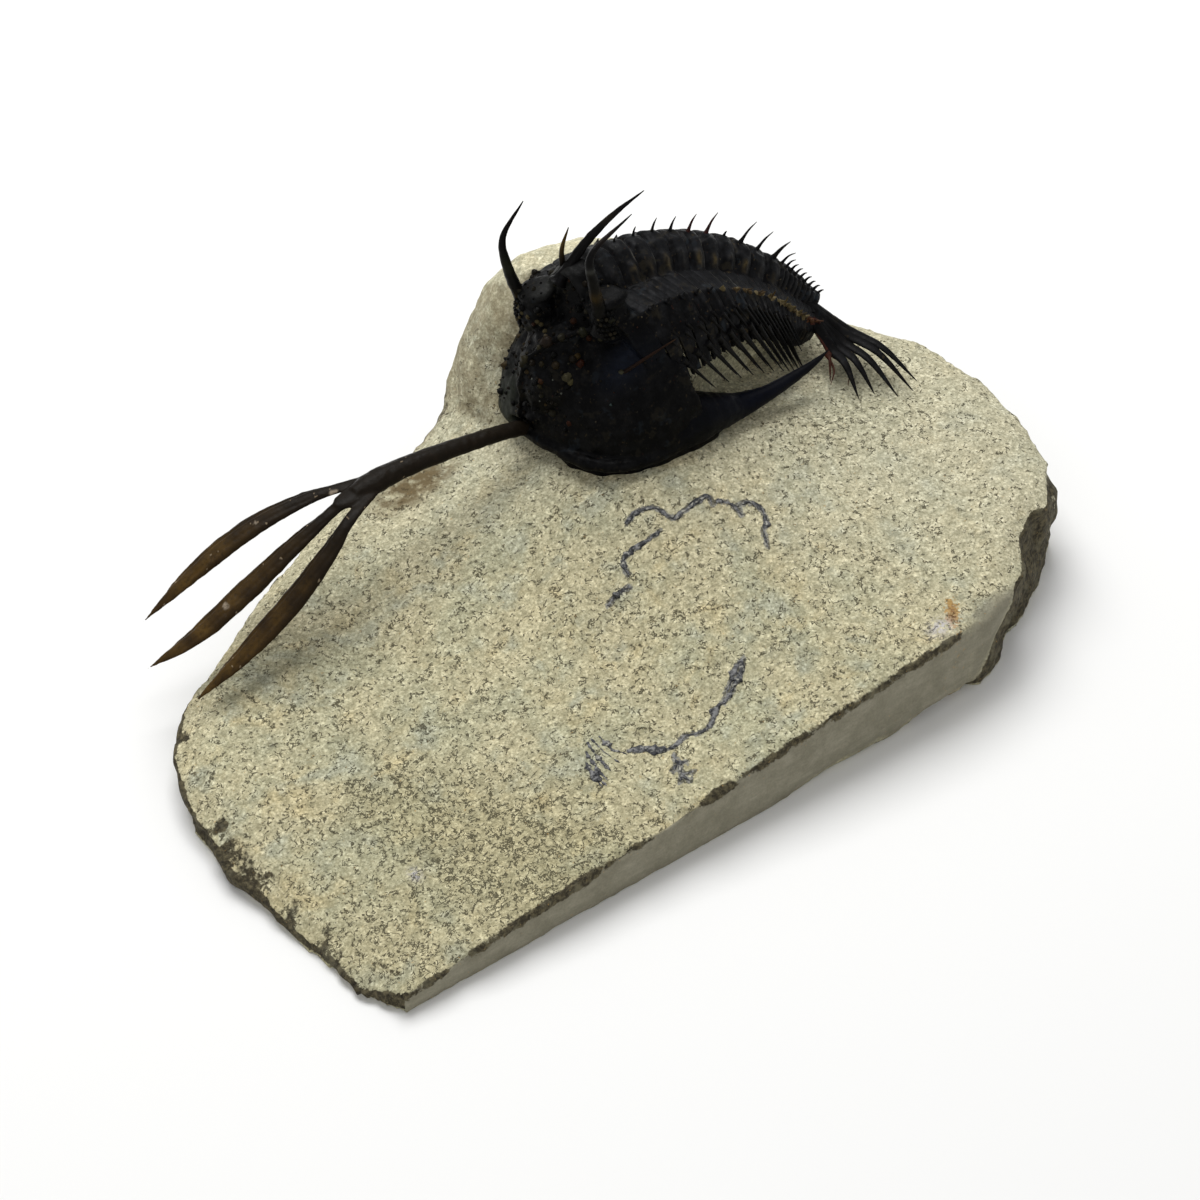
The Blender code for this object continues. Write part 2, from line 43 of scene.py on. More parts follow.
# The middle line of the back, as in the solids, in millimetres and degrees
CREST_START = (18.2, 27.6, 43.0)
CREST_LENGTH = 46.0
HEADING = (2.0, -38.0)
HEADING_POWER = 1.6
PITCH = (-8.0, 55.0)
PITCH_POWER = 0.7
PLANE_PITCH = (0.0, 50.0)
ROLL = (-8.0, -4.0)
SEGMENTS = 11
SEGMENT_LENGTH = 3.05
TAIL_SCALE = 0.62
LOBE = 4.4
ELBOW = 9.2
SKIRT_DROP = 4.0
SKIRT_REACH = 20.0
SKIRT_WIDTH = 3.2
SECTION = [(0.0, 0.0), (1.7, -0.45), (3.3, -1.8), (4.4, -3.8), (9.2, -5.2), (9.35, -5.3), (11.3, -7.6),
           (12.4, -12.0)]
CREST_SPINES = (0.5, 0.6, 1.3, 2.0, 2.0, 2.4, 3.0, 0.8, 3.3, 3.0, 3.0)
TAIL_CREST_SPINES = (2.2, 1.4, 1.1, 1.0, 0.9, 0.9, 0.8, 0.8, 0.7)
HEAD_AT = (7.6, 27.0, 19.6)
HEAD_TURN = 2.0
HEAD_ROLL = -11.0
FRONT_Y = -31.0
# Sizes of the remeshed skins, in millimetres
STONE_VOXEL, HEAD_VOXEL, FORK_VOXEL = 0.56, 0.22, 0.17


# Hand tools

WELD_DISTANCE = 0.000005
OUTWARD = (bpy.ops.mesh.normals_make_consistent, {"inside": False})


def pick(*objs):
    """Select these alone; the first is the active one."""
    bpy.ops.object.select_all(action="DESELECT")
    for obj in objs:
        obj.select_set(True)
    bpy.context.view_layer.objects.active = objs[0]


def modify(obj, kind, **settings):
    """Add a modifier and apply it."""
    pick(obj)
    step = obj.modifiers.new(kind.lower(), kind)
    for key, value in settings.items():
        setattr(step, key, value)
    bpy.ops.object.modifier_apply(modifier=step.name)


def linked(name, data):
    """A new object in the scene."""
    obj = bpy.data.objects.new(name, data)
    bpy.context.scene.collection.objects.link(obj)
    return obj


def edit(obj, action, *calls):
    """Run mesh tools, given with their settings; the action says what is selected first."""
    pick(obj)
    bpy.ops.object.mode_set(mode="EDIT")
    bpy.ops.mesh.select_all(action=action)
    for call, settings in calls:
        call(**settings)
    bpy.ops.object.mode_set(mode="OBJECT")


def join(name, objs):
    """One object of several; parts without a colour of their own get the plain one."""
    for obj in objs:
        if "tone" not in obj.data.attributes:
            paint(obj, np.zeros((len(obj.data.vertices), 4)))
    pick(*objs)
    if len(objs) > 1:
        bpy.ops.object.join()
    made = bpy.context.view_layer.objects.active
    made.name = made.data.name = name
    return made


def ball(at, radii, turn=None, segments=24, rings=14):
    """A stretched sphere, sizes in millimetres."""
    bpy.ops.mesh.primitive_uv_sphere_add(segments=segments, ring_count=rings, radius=MM, location=(0, 0, 0))
    obj = bpy.context.object
    obj.matrix_world = (Matrix.Translation(Vector(at) * MM) @ (turn or Matrix.Identity(4))
                        @ Matrix.Diagonal((*radii, 1)))
    pick(obj)
    bpy.ops.object.transform_apply(location=True, rotation=True, scale=True)
    return obj


def grid(name, columns, rows):
    """A flat grid to shape, and each point's shares, 0 to 1, of its width and its length."""
    bpy.ops.mesh.primitive_grid_add(x_subdivisions=columns, y_subdivisions=rows, size=2)
    obj = bpy.context.object
    obj.name = obj.data.name = name
    return (obj, *((values(obj, "co")[:, :2] + 1) / 2).T)


def smooth_path(points, count):
    """Points evenly spread on a smooth line through the given ones."""
    pts = [Vector(p) for p in points]
    pts = [2 * pts[0] - pts[1]] + pts + [2 * pts[-1] - pts[-2]]
    out = []
    for i in range(count):
        t = i / (count - 1) * (len(points) - 1)
        k = min(int(t), len(points) - 2)
        f = t - k
        a, b, c, d = pts[k:k + 4]
        out.append(0.5 * (2 * b + (c - a) * f + (2 * a - 5 * b + 4 * c - d) * f * f
                          + (3 * b - a - 3 * c + d) * f ** 3))
    return out


def rod(name, points, thick, count=24, sides=3, flat=1.0, rough=0.0, tone=None):
    """A tapering spine on a smooth line; thick gives its radius from root to tip in millimetres."""
    route = smooth_path(points, count)
    curve = bpy.data.curves.new(name, "CURVE")
    curve.dimensions = "3D"
    curve.bevel_depth = MM
    curve.bevel_resolution = sides
    curve.use_fill_caps = True
    spline = curve.splines.new("POLY")
    spline.points.add(count - 1)
    for i, (point, place) in enumerate(zip(spline.points, route)):
        point.co = (*(place * MM), 1)
        point.radius = thick(i / (count - 1))
    pick(linked(name, curve))
    bpy.ops.object.convert(target="MESH")
    obj = bpy.context.object
    weld(obj)
    co = read(obj)
    line = np.array([tuple(p) for p in route])
    near = np.argmin(((co[:, None] - line[None]) ** 2).sum(2), 1)
    if flat != 1.0:
        co[:, 2] = line[near, 2] + (co[:, 2] - line[near, 2]) * flat
    if rough:
        away = co - line[near]
        lumps = np.array([noise.noise(Vector(p) * 1.3) for p in co])
        co += away * rough * lumps[:, None]
    write(obj, co)
    if tone:
        paint(obj, np.array([tone(k / (count - 1)) for k in near]))
    return obj


def weld(obj):
    """Merge doubled points and turn every face outward."""
    edit(obj, "SELECT", (bpy.ops.mesh.remove_doubles, {"threshold": WELD_DISTANCE}), OUTWARD)


def values(obj, kind):
    """Three values for each point of the mesh, as they are stored."""
    out = np.zeros(len(obj.data.vertices) * 3)
    obj.data.vertices.foreach_get(kind, out)
    return out.reshape(-1, 3)


def read(obj):
    """The mesh's points in millimetres."""
    return values(obj, "co") / MM


def normals(obj):
    """The mesh's point normals."""
    return values(obj, "normal")


def write(obj, co):
    """Put points, in millimetres, back in the mesh."""
    obj.data.vertices.foreach_set("co", (co * MM).ravel())
    obj.data.update()


def paint(obj, colours, name="tone"):
    """Store a colour and a strength for each point."""
    layer = obj.data.attributes.get(name) or obj.data.attributes.new(name, "FLOAT_COLOR", "POINT")
    layer.data.foreach_set("color", np.asarray(colours, float).ravel())


def step(a, b, t):
    """Ease from 0 at a to 1 at b."""
    t = np.clip((np.asarray(t, float) - a) / (b - a), 0, 1)
    return t * t * (3 - 2 * t)


def bell(value, centre, size):
    """A soft rise to 1 at the centre."""
    return np.exp(-((value - centre) / size) ** 2)


def grain(co, size, seed=0.0):
    """Soft noise from -1 to 1 at every point; size is that of its lumps in millimetres."""
    off = Vector((seed * 7.1, seed * 3.7, seed * 5.3))
    return np.array([noise.noise(Vector(p) / size + off) for p in co])


def grains(co, *layers):
    """The sum of layers of soft noise; each has a height, a size and a seed."""
    return sum(height * grain(co, size, seed) for height, size, seed in layers)


def plain(tint, strength):
    """One tone from root to tip."""
    return lambda t: (*tint, strength)


def done(obj, slot, material, *nodes, angle=50):
    """Give a piece its finish and smooth shading, hang it from the root body and hide the solids that it
    stands for.
    """
    obj.data.materials.clear()
    obj.data.materials.append(material)
    pick(obj)
    bpy.ops.object.shade_smooth_by_angle(angle=math.radians(angle))
    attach(obj, "root")
    if nodes:
        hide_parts(*nodes)
    return obj


# The body's own coordinates

def crest_axes(along, pitches, power):
    """Tail-ward, near-side and outward directions at distances along the back."""
    t = np.clip(along / CREST_LENGTH, 0, 1)
    heading = np.radians(HEADING[0] + (HEADING[1] - HEADING[0]) * t ** HEADING_POWER)
    pitch = np.radians(pitches[0] + (pitches[1] - pitches[0]) * t ** power)
    roll = np.radians(-(ROLL[0] + (ROLL[1] - ROLL[0]) * t))
    tail = np.stack([np.cos(heading) * np.cos(pitch), np.sin(heading) * np.cos(pitch), -np.sin(pitch)], -1)
    near = np.stack([np.sin(heading), -np.cos(heading), 0 * heading], -1)
    out = np.cross(near, tail)
    cos, sin = np.cos(roll)[..., None], np.sin(roll)[..., None]
    return tail, near * cos + out * sin, out * cos - near * sin


CREST_STEP = 0.05
CREST_GRID = np.arange(-8.0, 48.0, CREST_STEP)
CREST_MOVES = crest_axes(CREST_GRID + CREST_STEP / 2, PITCH, PITCH_POWER)[0] * CREST_STEP
CREST_LINE = np.concatenate([np.zeros((1, 3)), np.cumsum(CREST_MOVES, 0)[:-1]])
CREST_LINE += np.array(CREST_START) - CREST_LINE[np.argmin(abs(CREST_GRID))]


def crest(along):
    """Points and axes of the back at distances along it."""
    along = np.asarray(along, float)
    point = np.stack([np.interp(along, CREST_GRID, CREST_LINE[:, k]) for k in range(3)], -1)
    return (point, *crest_axes(along, PLANE_PITCH, 1.0))


def body(along, wide, high, scale=1.0):
    """World points of the body; wide is positive on the near side."""
    along, wide, high = np.broadcast_arrays(*(np.asarray(v, float) for v in (along, wide, high)))
    point, tail, near, out = crest(along)
    reach = abs(wide)
    back = 0.3 * np.maximum(0, reach - LOBE) + 0.6 * np.maximum(0, reach - ELBOW)
    scale = np.asarray(scale, float)[..., None]
    return point + scale * (wide[..., None] * near + high[..., None] * out + back[..., None] * tail)


def body_scale(along):
    """Size of the cross-section along the body."""
    t = np.clip(np.asarray(along, float) / (SEGMENTS * SEGMENT_LENGTH), 0, 1)
    return 1 - (1 - TAIL_SCALE) * t ** 1.8


def head_axes():
    """The head's directions: back, to the near side and up."""
    turn, roll = math.radians(HEAD_TURN), math.radians(-HEAD_ROLL)
    back = Vector((math.cos(turn), math.sin(turn), 0))
    near = Vector((math.sin(turn), -math.cos(turn), 0))
    up = near.cross(back)
    return back, near * math.cos(roll) + up * math.sin(roll), up * math.cos(roll) - near * math.sin(roll)


def head_point(x, n, u):
    """World point of the head, x back, n to the near side, u up."""
    back, near, up = head_axes()
    return Vector(HEAD_AT) + float(x) * back + float(n) * near + float(u) * up


def head_local(co):
    """The head's own coordinates of points: back, to the near side and up."""
    rel = np.asarray(co) - np.array(HEAD_AT)
    return [rel @ np.array(axis) for axis in head_axes()]


def head_ball(at, radii, tilt, segments, rings):
    """A rounded lobe of the head; tilt leans it back, in degrees."""
    back, near, up = head_axes()
    turn = Matrix((back, -near, up)).transposed().to_4x4() @ Matrix.Rotation(math.radians(tilt), 4, "Y")
    return ball(head_point(*at), radii, turn, segments, rings)


# Finishes

class Finish:
    """A material built node by node; its patterns are measured in millimetres."""

    def __init__(self, name):
        self.material = bpy.data.materials.new(name)
        self.material.use_nodes = True
        self.tree = self.material.node_tree
        self.shader = self.tree.nodes["Principled BSDF"]
        coords = self.tree.nodes.new("ShaderNodeTexCoord")
        self.place = self.vector("SCALE", coords.outputs["Object"], 1 / MM)

    def put(self, socket, value):
        """Link or set one input."""
        if isinstance(value, bpy.types.NodeSocket):
            self.tree.links.new(value, socket)
        else:
            socket.default_value = value

    def add(self, kind, ins, **props):
        node = self.tree.nodes.new(kind)
        for key, value in props.items():
            setattr(node, key, value)
        for key, value in ins.items():
            self.put(node.inputs[key], value)
        return node

    def vector(self, kind, a, b):
        second = "Scale" if kind == "SCALE" else 1
        return self.add("ShaderNodeVectorMath", {0: a, second: b}, operation=kind).outputs[0]

    def noise(self, size, detail=3.0, rough=0.55, place=None, warp=0.0, out="Fac"):
        node = self.add("ShaderNodeTexNoise", {"Vector": place or self.place, "Scale": 1 / size,
                                               "Detail": detail, "Roughness": rough, "Distortion": warp})
        return node.outputs[out]

    def cells(self, size, place):
        return self.add("ShaderNodeTexVoronoi", {"Vector": place, "Scale": 1 / size}).outputs["Distance"]

    def span(self, value, low, high, to_low=0.0, to_high=1.0):
        node = self.add("ShaderNodeMapRange", {0: value, 1: low, 2: high, 3: to_low, 4: to_high},
                        interpolation_type="SMOOTHSTEP")
        return node.outputs[0]

    def cloud(self, size, low, high, detail=3.0, rough=0.55, **more):
        """Noise as a soft mask."""
        return self.span(self.noise(size, detail, rough, **more), low, high)

    def math(self, kind, a, b=0.0):
        return self.add("ShaderNodeMath", {0: a, 1: b}, operation=kind).outputs[0]

    def plus(self, a, b):
        return self.math("ADD", a, b)

    def minus(self, a, b):
        return self.math("SUBTRACT", a, b)

    def times(self, a, b):
        return self.math("MULTIPLY", a, b)

    def most(self, a, b):
        return self.math("MAXIMUM", a, b)

    def mix(self, amount, a, b, how="MIX"):
        node = self.add("ShaderNodeMix", {0: amount}, data_type="RGBA", blend_type=how)
        for key, value in ((6, a), (7, b)):
            self.put(node.inputs[key], (*value, 1) if isinstance(value, tuple) else value)
        return node.outputs[2]

    def shade(self, colour, value, low, high, dark, light):
        """The colour, multiplied by a tint that follows the value."""
        return self.mix(1.0, colour, self.mix(self.span(value, low, high), dark, light), "MULTIPLY")

    def fray(self, mask, size, rough, amount, low, high):
        """The mask, with noise to break up its edge."""
        ragged = self.times(self.minus(self.noise(size, 4, rough), 0.5), amount)
        return self.span(self.plus(mask, ragged), low, high)

    def warp(self, size, amount, seed):
        """The place, pushed about by soft noise."""
        shifted = self.vector("ADD", self.place, (seed, seed, seed))
        push = self.vector("SUBTRACT", self.noise(size, 2.0, place=shifted, out="Color"), (0.5, 0.5, 0.5))
        return self.vector("ADD", self.place, self.vector("SCALE", push, amount))

    def stored(self, name):
        """A painted layer: its colour, its strength and its three channels."""
        node = self.add("ShaderNodeAttribute", {}, attribute_name=name)
        parts = self.add("ShaderNodeSeparateColor", {0: node.outputs["Color"]})
        return node.outputs["Color"], node.outputs["Alpha"], parts.outputs

    def end(self, colour, rough, height, depth, specular=0.5):
        """Wire the shader; depth is that of the relief in millimetres."""
        bump = self.add("ShaderNodeBump", {"Height": height, "Distance": depth * MM, "Strength": 1.0})
        for key, value in (("Base Color", colour), ("Roughness", rough), ("Normal", bump.outputs[0]),
                           ("Specular IOR Level", specular)):
            self.put(self.shader.inputs[key], value)
        return self.material


# Tints of the stone
CREAM, OLD_CREAM = (0.66, 0.61, 0.43), (0.57, 0.56, 0.41)
HONEY, GREY_GREEN = (0.66, 0.56, 0.335), (0.51, 0.53, 0.45)
# Tan also tints a painted shadow beside the tail; chalk tints the paler stone, which is partly painted
# light.
TAN, CHALK = (0.50, 0.46, 0.285), (0.70, 0.68, 0.56)
# The second brown on the next line is that of the painted shadow under the fork's stem.
CRACK_BROWN, STEM_SHADOW_BROWN = (0.075, 0.066, 0.036), (0.16, 0.12, 0.06)
SEAM_TINTS = ((0.022, 0.023, 0.026), (0.25, 0.25, 0.235))
SAWN_TINTS = ((0.24, 0.225, 0.165), (0.30, 0.28, 0.21))
SAWN_PATCH = (0.21, 0.195, 0.14)
CRUST_TINTS = ((0.035, 0.029, 0.017), (0.13, 0.11, 0.062))
CRUST_PATCH = (0.17, 0.155, 0.10)
RUST_TINTS = ((0.24, 0.105, 0.022), (0.46, 0.27, 0.08))
LILAC = (0.62, 0.60, 0.63)
# Cracks: seed, size and half width of a line, then the size and the threshold of the mask over it
CRACKS = ((2.0, 1.7, 0.026, 1.5, 0.545), (13.0, 0.95, 0.034, 1.0, 0.56), (37.0, 2.6, 0.013, 2.2, 0.60))
# Specks of the shell: seed, size, threshold and tint
SPECKS = ((3.0, 0.9, 0.635, (0.060, 0.043, 0.020)), (17.0, 0.5, 0.665, (0.12, 0.10, 0.062)),
          (29.0, 0.7, 0.67, (0.060, 0.018, 0.009)), (41.0, 2.2, 0.60, (0.014, 0.019, 0.024)),
          (53.0, 2.8, 0.58, (0.020, 0.017, 0.011)))
SHELL_SPECULAR = 0.05


def cracked(f, dense_and_shaded, pale):
    """Short squiggly cracks, the level lines of noises let through in pieces by others, and pits."""
    marks = 0.0
    for seed, size, width, mask_size, low in CRACKS:
        wave = f.noise(size, 3, 0.62, place=f.warp(size, size * 0.9, seed))
        line = f.span(f.math("ABSOLUTE", f.minus(wave, 0.5)), width, width * 0.35)
        # More cracks on the dense stone and in the painted shadow beside the tail, fewer on the paler stone.
        gate = f.plus(f.noise(mask_size, 2, place=f.warp(3, 2, seed + 5.0)), f.times(dense_and_shaded, 0.075))
        gate = f.minus(gate, f.times(pale, 0.035))
        marks = f.most(marks, f.times(line, f.span(gate, low, low + 0.05)))
    pits = f.times(f.span(f.cells(0.9, f.warp(0.8, 0.5, 21.0)), 0.19, 0.10), f.cloud(2.1, 0.5, 0.58, 2))
    return f.most(marks, f.times(pits, 0.7))


def sawn_face(f, fine):
    """The plainer tint of the sawn face, with faint long scratches."""
    along = f.vector("MULTIPLY", f.place, (0.12, 1.0, 0.9))
    tint = f.mix(f.cloud(1.0, 0.3, 0.7, 4, 0.7, place=along), *SAWN_TINTS)
    tint = f.mix(f.cloud(3.5, 0.35, 0.68, 5, 0.7), tint, SAWN_PATCH)
    return f.shade(tint, fine, 0.25, 0.75, (0.85, 0.85, 0.84), (1.1, 1.1, 1.1))


def limestone():
    """Tooled cream limestone with short dark cracks, a dark crust, a sawn face, a rust spot, a painted brown
    shadow under the fork's stem, a painted shadow beside the tail and a paler tint towards the right and the
    back that is partly painted light.
    """
    f = Finish("limestone_pale")
    _, sawn, (crust, rust, stem_shadow) = f.stored("marks")
    _, clean, (pale, dense_and_shaded, lilac) = f.stored("zones")
    colour = f.mix(f.cloud(10, 0.36, 0.66, 4), CREAM, OLD_CREAM)
    honey = f.cloud(6.0, 0.50, 0.72, 4, warp=0.6, place=f.warp(9, 3, 4.0))
    green = f.cloud(5.0, 0.52, 0.72, 4, place=f.warp(8, 3, 31.0))
    # The tan here also lays a painted shadow beside the tail, and the chalk is partly painted light towards
    # the right and the back.
    for mask, share, tint in ((honey, 0.6, HONEY), (green, 0.65, GREY_GREEN), (dense_and_shaded, 0.45, TAN),
                              (pale, 0.55, CHALK)):
        colour = f.mix(f.times(mask, share), colour, tint)
    mottle = f.noise(1.5, 6, 0.7)
    fine = f.noise(0.30, 5, 0.75)
    lumps = f.cells(0.62, f.warp(0.6, 0.4, 8.0))
    colour = f.shade(colour, mottle, 0.3, 0.7, (0.70, 0.70, 0.66), (1.18, 1.17, 1.14))
    colour = f.shade(colour, fine, 0.25, 0.75, (0.54, 0.53, 0.48), (1.34, 1.34, 1.33))
    colour = f.shade(colour, lumps, 0.15, 0.62, (1.10, 1.10, 1.09), (0.82, 0.81, 0.77))
    bare = f.minus(1.0, f.most(f.times(sawn, 0.95), f.times(clean, 0.85)))
    cuts = f.times(cracked(f, dense_and_shaded, pale), bare)
    seam = f.fray(f.stored("seams")[1], 0.45, 0.7, 1.3, 0.50, 0.66)
    edging = f.mix(f.cloud(0.8, 0.44, 0.56, 4, 0.7, place=f.warp(1.0, 0.8, 17.0)), *SEAM_TINTS)
    dark = f.mix(f.cloud(0.7, 0.38, 0.66, 5, 0.7), *CRUST_TINTS)
    dark = f.mix(f.times(f.cloud(2.2, 0.5, 0.7), 0.6), dark, CRUST_PATCH)
    spot = f.fray(rust, 0.5, 0.75, 3.4, 0.5, 0.72)
    # The brown laid on by the fourth mask below is a painted shadow under the fork's stem.
    for mask, tint in ((f.times(cuts, 0.88), CRACK_BROWN), (f.times(seam, 0.8), edging),
                       (sawn, sawn_face(f, fine)), (f.times(stem_shadow, f.cloud(1.6, 0.25, 0.6, 4)), STEM_SHADOW_BROWN),
                       (f.fray(crust, 0.9, 0.7, 1.1, 0.42, 0.62), dark),
                       (f.times(spot, 0.85), f.mix(f.cloud(0.5, 0.4, 0.62), *RUST_TINTS)),
                       (f.times(f.times(lilac, 0.8), f.cloud(0.5, 0.36, 0.55, 4)), LILAC)):
        colour = f.mix(mask, colour, tint)
    height = f.plus(f.minus(f.times(mottle, 0.9), f.times(cuts, 0.8)), f.times(fine, 0.5))
    height = f.minus(height, f.times(lumps, 0.4))
    height = f.times(height, f.minus(1.0, f.times(f.most(sawn, clean), 0.75)))
    return f.end(colour, f.span(mottle, 0.3, 0.7, 0.82, 0.95), height, 0.26, 0.25)


def shell(name, dark, light, specks=1.0, gloss=(0.32, 0.55)):
    """Dark fossil shell with slate clouds and small ochre, cream and rust specks."""
    f = Finish(name)
    tone, amount, _ = f.stored("tone")
    colour = f.mix(f.cloud(1.6, 0.42, 0.70, 5, 0.62), dark, light)
    for seed, size, low, tint in SPECKS:
        mask = f.cloud(size, low, low + 0.07, 3, 0.65, place=f.warp(size * 2, size, seed))
        colour = f.mix(f.times(mask, 0.75 * specks), colour, tint)
    uneven = f.plus(f.times(f.cloud(0.5, 0.25, 0.6, 4, 0.7), 0.6), 0.4)
    colour = f.mix(f.times(amount, uneven), colour, tone)
    height = f.plus(f.times(f.noise(0.8, 4, 0.6), 0.7), f.times(f.noise(0.22, 4, 0.7), 0.3))
    return f.end(colour, f.span(f.noise(0.7, 4), 0.3, 0.7, *gloss), height, 0.10, SHELL_SPECULAR)


def fragment_finish():
    """Blue-grey shell slivers with black streaks."""
    f = Finish("shell_sliver")
    streak = f.noise(0.9, 5, 0.75, place=f.warp(1.2, 1.0, 5.0))
    colour = f.mix(f.span(streak, 0.45, 0.60), (0.010, 0.011, 0.014), (0.19, 0.19, 0.19))
    colour = f.mix(f.cloud(0.7, 0.56, 0.68), colour, (0.36, 0.35, 0.30))
    return f.end(colour, 0.6, streak, 0.12)


# Stone

def move(co, depth, direction):
    """Move the points in place, each by its own depth, along one direction."""
    co += depth[:, None] * np.array(direction)


def stone_shape():
    """The block's solid as a fine skin, with a fuller hump, a broken right corner and a chipped foot."""
    block = linked("limestone_block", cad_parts["matrix"].data.copy())
    weld(block)
    modify(block, "REMESH", mode="VOXEL", voxel_size=STONE_VOXEL * MM)
    co = read(block)
    soft = block.vertex_groups.new(name="soft")
    keep_sharp = (co[:, 1] < FRONT_Y + 1.0) | (co[:, 2] < 1.2)
    soft.add([int(i) for i in np.flatnonzero(~keep_sharp)], 1.0, "REPLACE")
    modify(block, "SMOOTH", factor=0.5, iterations=4, vertex_group="soft")
    co = read(block)
    x, y, z = co.T
    swell = step(10, 21, z) * step(27, 15, x) * step(27, 36, y)
    move(co, 2.4 * swell, (-0.36, 0.82, 0.44))
    across, along = (x - y) / math.sqrt(2), (x + y) / math.sqrt(2)
    broken = step(45, 54, across) * step(15, 20, along) * step(26.4, 24.6, along) * step(3, 13, z)
    move(co, 1.7 * broken, (-0.7, 0.7, 0))
    move(co, 0.5 * step(-44, -54, x) * step(1.5, 3.5, z), (-1, 0, 0))
    move(co, 1.1 * (step(-12, -22, x) * step(10, 20, y) * step(20, 16, z)), (-0.5, 0.86, 0))
    move(co, 1.5 * (bell(along, 38, 8) * step(46, 52, across) * step(13, 9, z)), (0.85, -0.5, 0))
    move(co, 1.2 * (bell(x, 47, 4.5) * step(-23, -27, y) * step(9, 2, z)), (-0.4, 0.9, 0))
    foot = step(2.6, 0.3, z) * step(-28.5, -30.5, y)
    depth = 1.9 * step(22, 30, x) * step(38.5, 36, x) + 0.7 * step(4, 12, x) * step(26, 20, x)
    depth += 0.35 * abs(grain(co, 3.0, 15))
    move(co, foot * depth, (0, 1, 0))
    write(block, co)
    return block


def past_corner(x, z):
    """How far right a point lies, measured along the slant of the sawn face's right end."""
    return x + 0.69 * (13.3 - z)


def build_stone():
    """The limestone block, from the solid, with its worn top, broken sides and marks."""
    block = stone_shape()
    co, nor = read(block), normals(block)
    x, y, z = co.T
    sawn = step(FRONT_Y + 0.9, FRONT_Y + 0.3, y) * step(-0.5, -0.8, nor[:, 1])
    corner = step(-27, -28.5, y) * step(33, 37, x) * step(46.5, 44, past_corner(x, z))
    sawn = np.maximum(sawn, corner * step(-0.3, -0.6, nor[:, 1]))
    top = step(0.45, 0.8, nor[:, 2])
    free = (1 - sawn) * (1 - step(0.6, 0.2, z))
    side = (1 - top) * free
    hump = step(24, 27, z) * free
    low = step(20, 14, z)
    rough = top * free * grains(co, (0.26, 8, 1), (0.15, 2.4, 2), (0.08, 1.1, 3))
    broken = 0.8 * grain(co, 6, 4) + 0.5 * abs(grain(co, 2.6, 5)) + 0.18 * grain(co, 1.2, 6) - 0.1
    rough += side * low * broken
    rough += side * (1 - low) * grains(co, (0.30, 5, 7), (0.12, 1.8, 8))
    rim_height = 2.9 + 0.108 * (x + 51.5)
    chips = np.maximum(0, grain(co, 2.2, 9)) * 1.3 + 0.1
    rough -= bell(np.hypot(y - FRONT_Y, z - rim_height), 0, 0.9) * chips * 0.8
    write(block, co + nor * rough[:, None])
    paint_marks(block, nor[:, 2], sawn, free, side, rim_height)
    paint_zones(block, top, hump)
    paint_seams(block, nor[:, 2])
    return done(block, "limestone", limestone(), "matrix", angle=180)


def paint_marks(block, up, sawn, free, side, rim_height):
    """Store the dark crust, the rust spot, the brown painted shadow under the fork's stem and the sawn face.
    """
    co = read(block)
    x, y, z = co.T
    left = np.clip(step(-44, -50, x + 0.35 * (y - 8)) + step(-47, -52, x), 0, 1)
    crust = np.clip(side * left * 1.3 + side * step(20, 12, z) * 0.59, 0, 1.3)
    right = step(42, 46, past_corner(x, z)) * side * step(-12.5, -18.5, y + 5 * grain(co, 3.0, 12))
    worn = step(0.985, 0.9, up) * left * free * (0.36 + 0.8 * grain(co, 2.4, 11))
    line = bell(np.hypot(y - FRONT_Y, z - rim_height), 0, 0.95) * step(38, 33, x)
    line *= 0.85 + 0.5 * grain(co, 3.5, 10) + 0.6 * bell(x, -26, 2.5) + 0.6 * bell(x, -4.5, 1.6)
    line *= 1 - step(3.2, 1.6, abs(x + 11.2))
    crust = np.maximum.reduce([crust, right * 1.15, worn, line])
    slant, off = 0.58 * (x - 34.9) + 0.81 * (y + 27.5), 0.81 * (x - 34.9) - 0.58 * (y + 27.5)
    rust = bell(slant, 0, 2.6) * bell(off, 0, 0.95) * 1.25
    # A painted brown shadow cast by the fork's stem, on the top and on the flank below it.
    stem_shadow = step(5.5, 2.0, np.hypot((x + 5) * 0.6, (y - 34.0) * 1.3)) * step(9, 10.5, z)
    stem_shadow = np.maximum(stem_shadow, side * step(-10, 0, x) * step(22, 30, y) * 0.55)
    paint(block, np.stack([crust, rust, stem_shadow, sawn], -1), "marks")


def paint_zones(block, top, hump):
    """Store the paler stone towards the right and the back, which is partly painted light, the stone with
    many cracks together with a painted shadow beside the tail, the lilac specks and the smooth hump.
    """
    x, y, _ = read(block).T
    # Paler stone with fewer cracks towards the right and the back; this paler tint is partly painted light,
    # lighter on the side the key lamp comes from.
    pale = np.clip(step(0, 50, x + 0.7 * y) + 0.4 * step(10, 30, y), 0, 1)
    band = bell(x + 0.45 * (y + 14), -33, 7) * step(2, -6, y)
    # A painted shadow of the tail fan on the stone beside the tail, darker tan and more cracked.
    tail_shadow = bell(x, 44, 12) * bell(y, 6, 5)
    dense_and_shaded = np.clip(band + 0.9 * tail_shadow + 0.5 * step(-10, -24, x) * step(-8, -22, y), 0, 1)
    lilac = np.maximum(bell(x, 32.3, 1.7) * bell(y, -28.3, 1.1), bell(x, -40.6, 0.6) * bell(y, -17.1, 0.9))
    clean = np.clip(hump + step(28, 33, y) * step(14, 20, x) * top, 0, 1)
    paint(block, np.stack([pale, dense_and_shaded, lilac, clean], -1), "zones")


